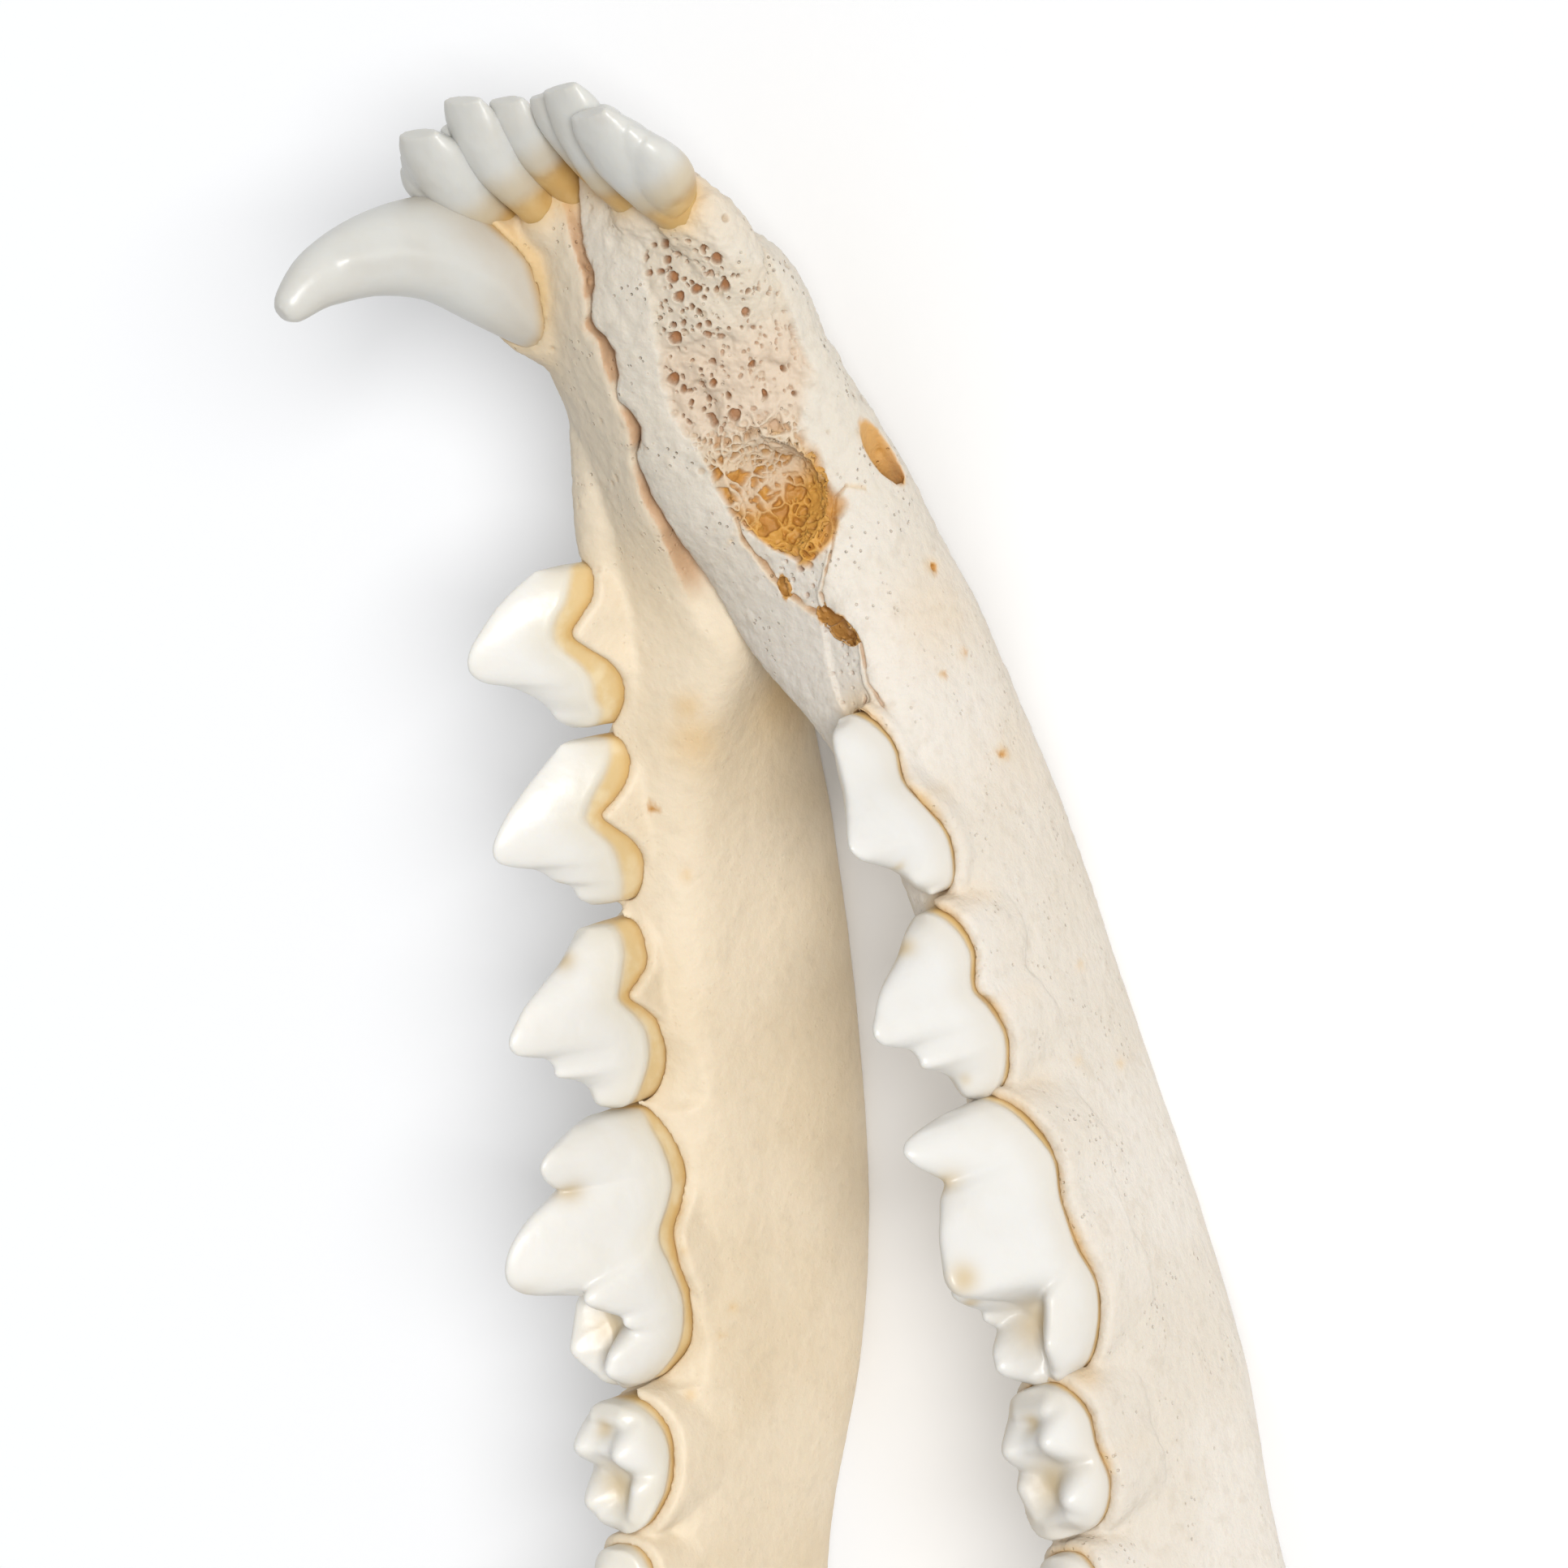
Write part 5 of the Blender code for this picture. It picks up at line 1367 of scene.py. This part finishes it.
weather(left_bone, LEFT_CHEEK_TEETH, 1)
weather(right_bone, RIGHT_CHEEK_TEETH, -1)
print("bone triangles", triangle_count(left_bone), triangle_count(right_bone))

# %% [markdown]
# ## Finishes from nodes
# A finish is a chain of small steps: a noise, a threshold, a mix of two colours. A painted picture could
# do the same, but it would need an unwrapped skin and would blur up close. Each kind of step gets a short
# helper, so that a finish reads as a list of layers.

# %% Steps of a finish
def shader_nodes(name):
    material = bpy.data.materials.new(name)
    material.use_nodes = True
    tree = material.node_tree
    return material, tree, tree.nodes["Principled BSDF"]


def node(tree, kind, **values):
    made = tree.nodes.new(kind)
    for key, value in values.items():
        setattr(made, key, value)
    return made


def feed(tree, inlet, value):
    """Link an output to the inlet, or set the inlet to a plain value."""
    if isinstance(value, bpy.types.NodeSocket):
        tree.links.new(value, inlet)
    else:
        inlet.default_value = value


def mix_colour(tree, share, low, high):
    """Low where share is 0 and high where it is 1. Each is a colour or an output."""
    mix = node(tree, "ShaderNodeMix", data_type="RGBA")
    for inlet, value in ((mix.inputs[0], share), (mix.inputs[6], low), (mix.inputs[7], high)):
        feed(tree, inlet, value)
    return mix.outputs[2]


def calculate(tree, operation, a, b=0.0, clamp=False):
    step = node(tree, "ShaderNodeMath", operation=operation, use_clamp=clamp)
    for inlet, value in zip(step.inputs, (a, b)):
        feed(tree, inlet, value)
    return step.outputs[0]


def stepped(tree, value, low, high):
    """0 below low, 1 above high."""
    span = node(tree, "ShaderNodeMapRange", interpolation_type="SMOOTHSTEP")
    tree.links.new(value, span.inputs["Value"])
    span.inputs["From Min"].default_value = low
    span.inputs["From Max"].default_value = high
    return span.outputs["Result"]


# %% Noise, specks, marks and bumps
def noise(tree, scale, detail=3.0):
    """Noise on the object's coordinates, with lumps of about 1 / scale metres."""
    where = node(tree, "ShaderNodeTexCoord")
    made = node(tree, "ShaderNodeTexNoise")
    tree.links.new(where.outputs["Object"], made.inputs["Vector"])
    made.inputs["Scale"].default_value = scale
    made.inputs["Detail"].default_value = detail
    return made.outputs["Fac"]


def specks(tree, scale, radius):
    """1 in the middle of scattered round specks and 0 outside them."""
    where = node(tree, "ShaderNodeTexCoord")
    scatter = node(tree, "ShaderNodeTexVoronoi")
    tree.links.new(where.outputs["Object"], scatter.inputs["Vector"])
    scatter.inputs["Scale"].default_value = scale
    return stepped(tree, scatter.outputs["Distance"], radius, radius * 0.4)


def stored(tree, name):
    return node(tree, "ShaderNodeAttribute", attribute_name=name).outputs["Fac"]


def bump(tree, shader, heights):
    """Chain of bumps on the shader: each a height and its depth in metres."""
    last = None
    for height, depth in heights:
        step = node(tree, "ShaderNodeBump")
        step.inputs["Distance"].default_value = depth
        tree.links.new(height, step.inputs["Height"])
        if last is not None:
            tree.links.new(last, step.inputs["Normal"])
        last = step.outputs["Normal"]
    tree.links.new(last, shader.inputs["Normal"])


def shade(tree, colour, name, strength, tint):
    """Mix the tint in where the stored number is high."""
    return mix_colour(tree, calculate(tree, "MULTIPLY", stored(tree, name), strength), colour, tint)


# %% [markdown]
# ## Bone
# Cleaned bone is a dry, warm off-white with a little light passing under its skin. Stains are amber at
# the tooth necks and deep orange in the open socket, as the stored numbers say. Fine pores and specks are
# too small to be shaped, so they come from noise on the object's own coordinates, with a slight bump. The
# right bone in the photo is greyer and more porous than the left one, so each has its own finish.

# %% Bone finish
MOTTLE = (0.42, 0.34, 0.24, 1)
SPECK = (0.36, 0.26, 0.16, 1)
BONE_MARKS = (        # stored number, its strength and its tint, from the bottom layer to the top one
    # pore: the chin's pits tinted brown, their own colour and painted shade
    ("pore", 0.5, (0.36, 0.22, 0.10, 1)), ("seam", 0.75, (0.50, 0.28, 0.13, 1)),
    ("stain", 0.85, (0.64, 0.41, 0.15, 1)), ("spongy", 0.55, (0.58, 0.49, 0.37, 1)),
    ("rosy", 0.45, (0.58, 0.42, 0.29, 1)), ("amber", 0.95, (0.56, 0.27, 0.03, 1)),
    # deep: holes, pits, hollows and cracks painted dark brown, their own brown deepened as painted shade
    ("deep", 0.9, (0.33, 0.13, 0.03, 1)),
)


def bone_material(name, pale, warm, grey, porous):
    """Bone from pale to warm, greyer at the chin, with as many specks as porous says."""
    material, tree, shader = shader_nodes(name)
    colour = mix_colour(tree, stepped(tree, noise(tree, 110.0, 4.0), 0.35, 0.65), pale, warm)
    colour = shade(tree, colour, "chin", 0.8, grey)
    mottle = stepped(tree, noise(tree, 1300.0, 5.0), 0.5, 0.72)
    colour = mix_colour(tree, calculate(tree, "MULTIPLY", mottle, 0.08 + porous * 0.2), colour, MOTTLE)
    dust = calculate(tree, "ADD", calculate(tree, "MULTIPLY", stored(tree, "chin"), 0.5), porous)
    dusty_places = stepped(tree, noise(tree, 420.0, 2.0), 0.48, 0.64)
    small = calculate(tree, "MULTIPLY", specks(tree, 2400.0, 0.24), dusty_places)
    small = calculate(tree, "MULTIPLY", small, dust, True)
    colour = mix_colour(tree, calculate(tree, "MULTIPLY", small, 0.6), colour, SPECK)
    for mark, strength, tint in BONE_MARKS:
        colour = shade(tree, colour, mark, strength, tint)
    tree.links.new(colour, shader.inputs["Base Color"])
    shader.inputs["Roughness"].default_value = 0.6
    shader.inputs["Subsurface Weight"].default_value = 0.15
    shader.inputs["Subsurface Radius"].default_value = (1.0, 0.6, 0.35)
    shader.inputs["Subsurface Scale"].default_value = 0.0006
    holes = calculate(tree, "SUBTRACT", 1.0, small)
    bump(tree, shader, ((holes, 0.0001), (noise(tree, 1300.0, 5.0), 0.00018 * (0.4 + porous)),
                        (noise(tree, 420.0, 3.0), 0.0002 * (0.4 + porous))))
    return material


left_finish = bone_material(
    "left_bone", pale=(0.75, 0.64, 0.48, 1), warm=(0.70, 0.58, 0.41, 1),
    grey=(0.63, 0.55, 0.43, 1), porous=0.12)
right_finish = bone_material(
    "right_bone", pale=(0.65, 0.60, 0.53, 1), warm=(0.61, 0.55, 0.465, 1),
    grey=(0.60, 0.545, 0.455, 1), porous=0.5)
print("bone layers", len(BONE_MARKS))

# %% [markdown]
# ## Enamel and roots
# Worn enamel is white and slightly glossy, with a duller margin near its lower line, and the root below
# is a dull yellow that darkens toward the bone. One finish covers both and fades from one to the other by
# the stored number, so that no edge has to be cut. The front teeth are darker and browner in the photo.
# The cheek teeth of both sides share one white: the left copy is painted lighter and the right copy darker,
# as painted light and painted shade for how light falls on each side.

# %% Enamel finish
TAN = (0.52, 0.38, 0.17, 1)
ROOT_EDGE = (0.60, 0.36, 0.10, 1)


def tooth_material(name, white, margin_colour, root_colours):
    """Enamel from its margin's colour to white, over a root of two colours."""
    material, tree, shader = shader_nodes(name)
    clouds = noise(tree, 350.0, 3.0)
    crown = mix_colour(tree, stepped(tree, stored(tree, "height"), 0.02, 0.35), margin_colour, white)
    cloudy = calculate(tree, "MULTIPLY", stepped(tree, clouds, 0.45, 0.7), 0.25)
    crown = mix_colour(tree, cloudy, crown, margin_colour)
    crown = shade(tree, crown, "tan", 0.7, TAN)
    root = mix_colour(tree, stepped(tree, noise(tree, 700.0, 3.0), 0.4, 0.7), *root_colours)
    root = shade(tree, root, "rim", 0.55, ROOT_EDGE)
    tree.links.new(mix_colour(tree, stored(tree, "enamel"), root, crown), shader.inputs["Base Color"])
    shader.inputs["Roughness"].default_value = 0.36
    shader.inputs["Coat Weight"].default_value = 0.05
    shader.inputs["Coat Roughness"].default_value = 0.25
    shader.inputs["Subsurface Weight"].default_value = 0.3
    shader.inputs["Subsurface Radius"].default_value = (1.0, 0.8, 0.55)
    shader.inputs["Subsurface Scale"].default_value = 0.0008
    bump(tree, shader, ((clouds, 0.00006), (noise(tree, 2600.0, 2.0), 0.00001)))
    return material


CHEEK_ROOTS = (0.68, 0.51, 0.26, 1), (0.75, 0.62, 0.39, 1)
FRONT_ROOTS = (0.44, 0.28, 0.11, 1), (0.56, 0.41, 0.21, 1)
# painted light: the left cheek teeth get a lighter copy of the same white
lit_left_tooth_finish = tooth_material(
    "lit_left_cheek_enamel", (0.745, 0.73, 0.69, 1), (0.70, 0.66, 0.57, 1), CHEEK_ROOTS)
# painted shade: the right cheek teeth get a darker copy of the same white
shaded_right_tooth_finish = tooth_material(
    "shaded_right_cheek_enamel", (0.66, 0.645, 0.61, 1), (0.61, 0.57, 0.50, 1), CHEEK_ROOTS)
front_finish = tooth_material(
    "front_tooth_enamel", (0.57, 0.565, 0.53, 1), (0.52, 0.48, 0.41, 1), FRONT_ROOTS)
print("finishes", len([m for m in bpy.data.materials if m.name.endswith(("bone", "enamel"))]))

# %% [markdown]
# ## Putting the pieces down
# Each finished piece moves from the animal's frame to the floor and from millimetres to metres, in its
# mesh. It rides on the one body, takes the slot of its finish, and the solids that a piece stands for are
# hidden. The lowest stretch of each bone is flattened onto the floor, where the jaw rests.

# %% Place and finish
def set_down(piece, material, replaced=()):
    p = (points(piece) + JAW_ORIGIN) * MM
    p[:, 2] = np.maximum(p[:, 2], 0.0)
    move_points(piece, p)
    piece.data.materials.clear()
    piece.data.materials.append(material)
    activate(piece)
    bpy.ops.object.shade_smooth()
    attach(piece, "root")
    if replaced:
        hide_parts(*replaced)


set_down(left_bone, left_finish, ("left_dentary",))
set_down(right_bone, right_finish, ("right_dentary",))
set_down(fang_tooth, front_finish, ("left_canine",))
for (side, name), tooth in teeth.items():
    # each side's cheek teeth take their lit or their shaded copy of the white
    cheek_finish = lit_left_tooth_finish if side > 0 else shaded_right_tooth_finish
    set_down(tooth, front_finish if name in INCISORS else cheek_finish)
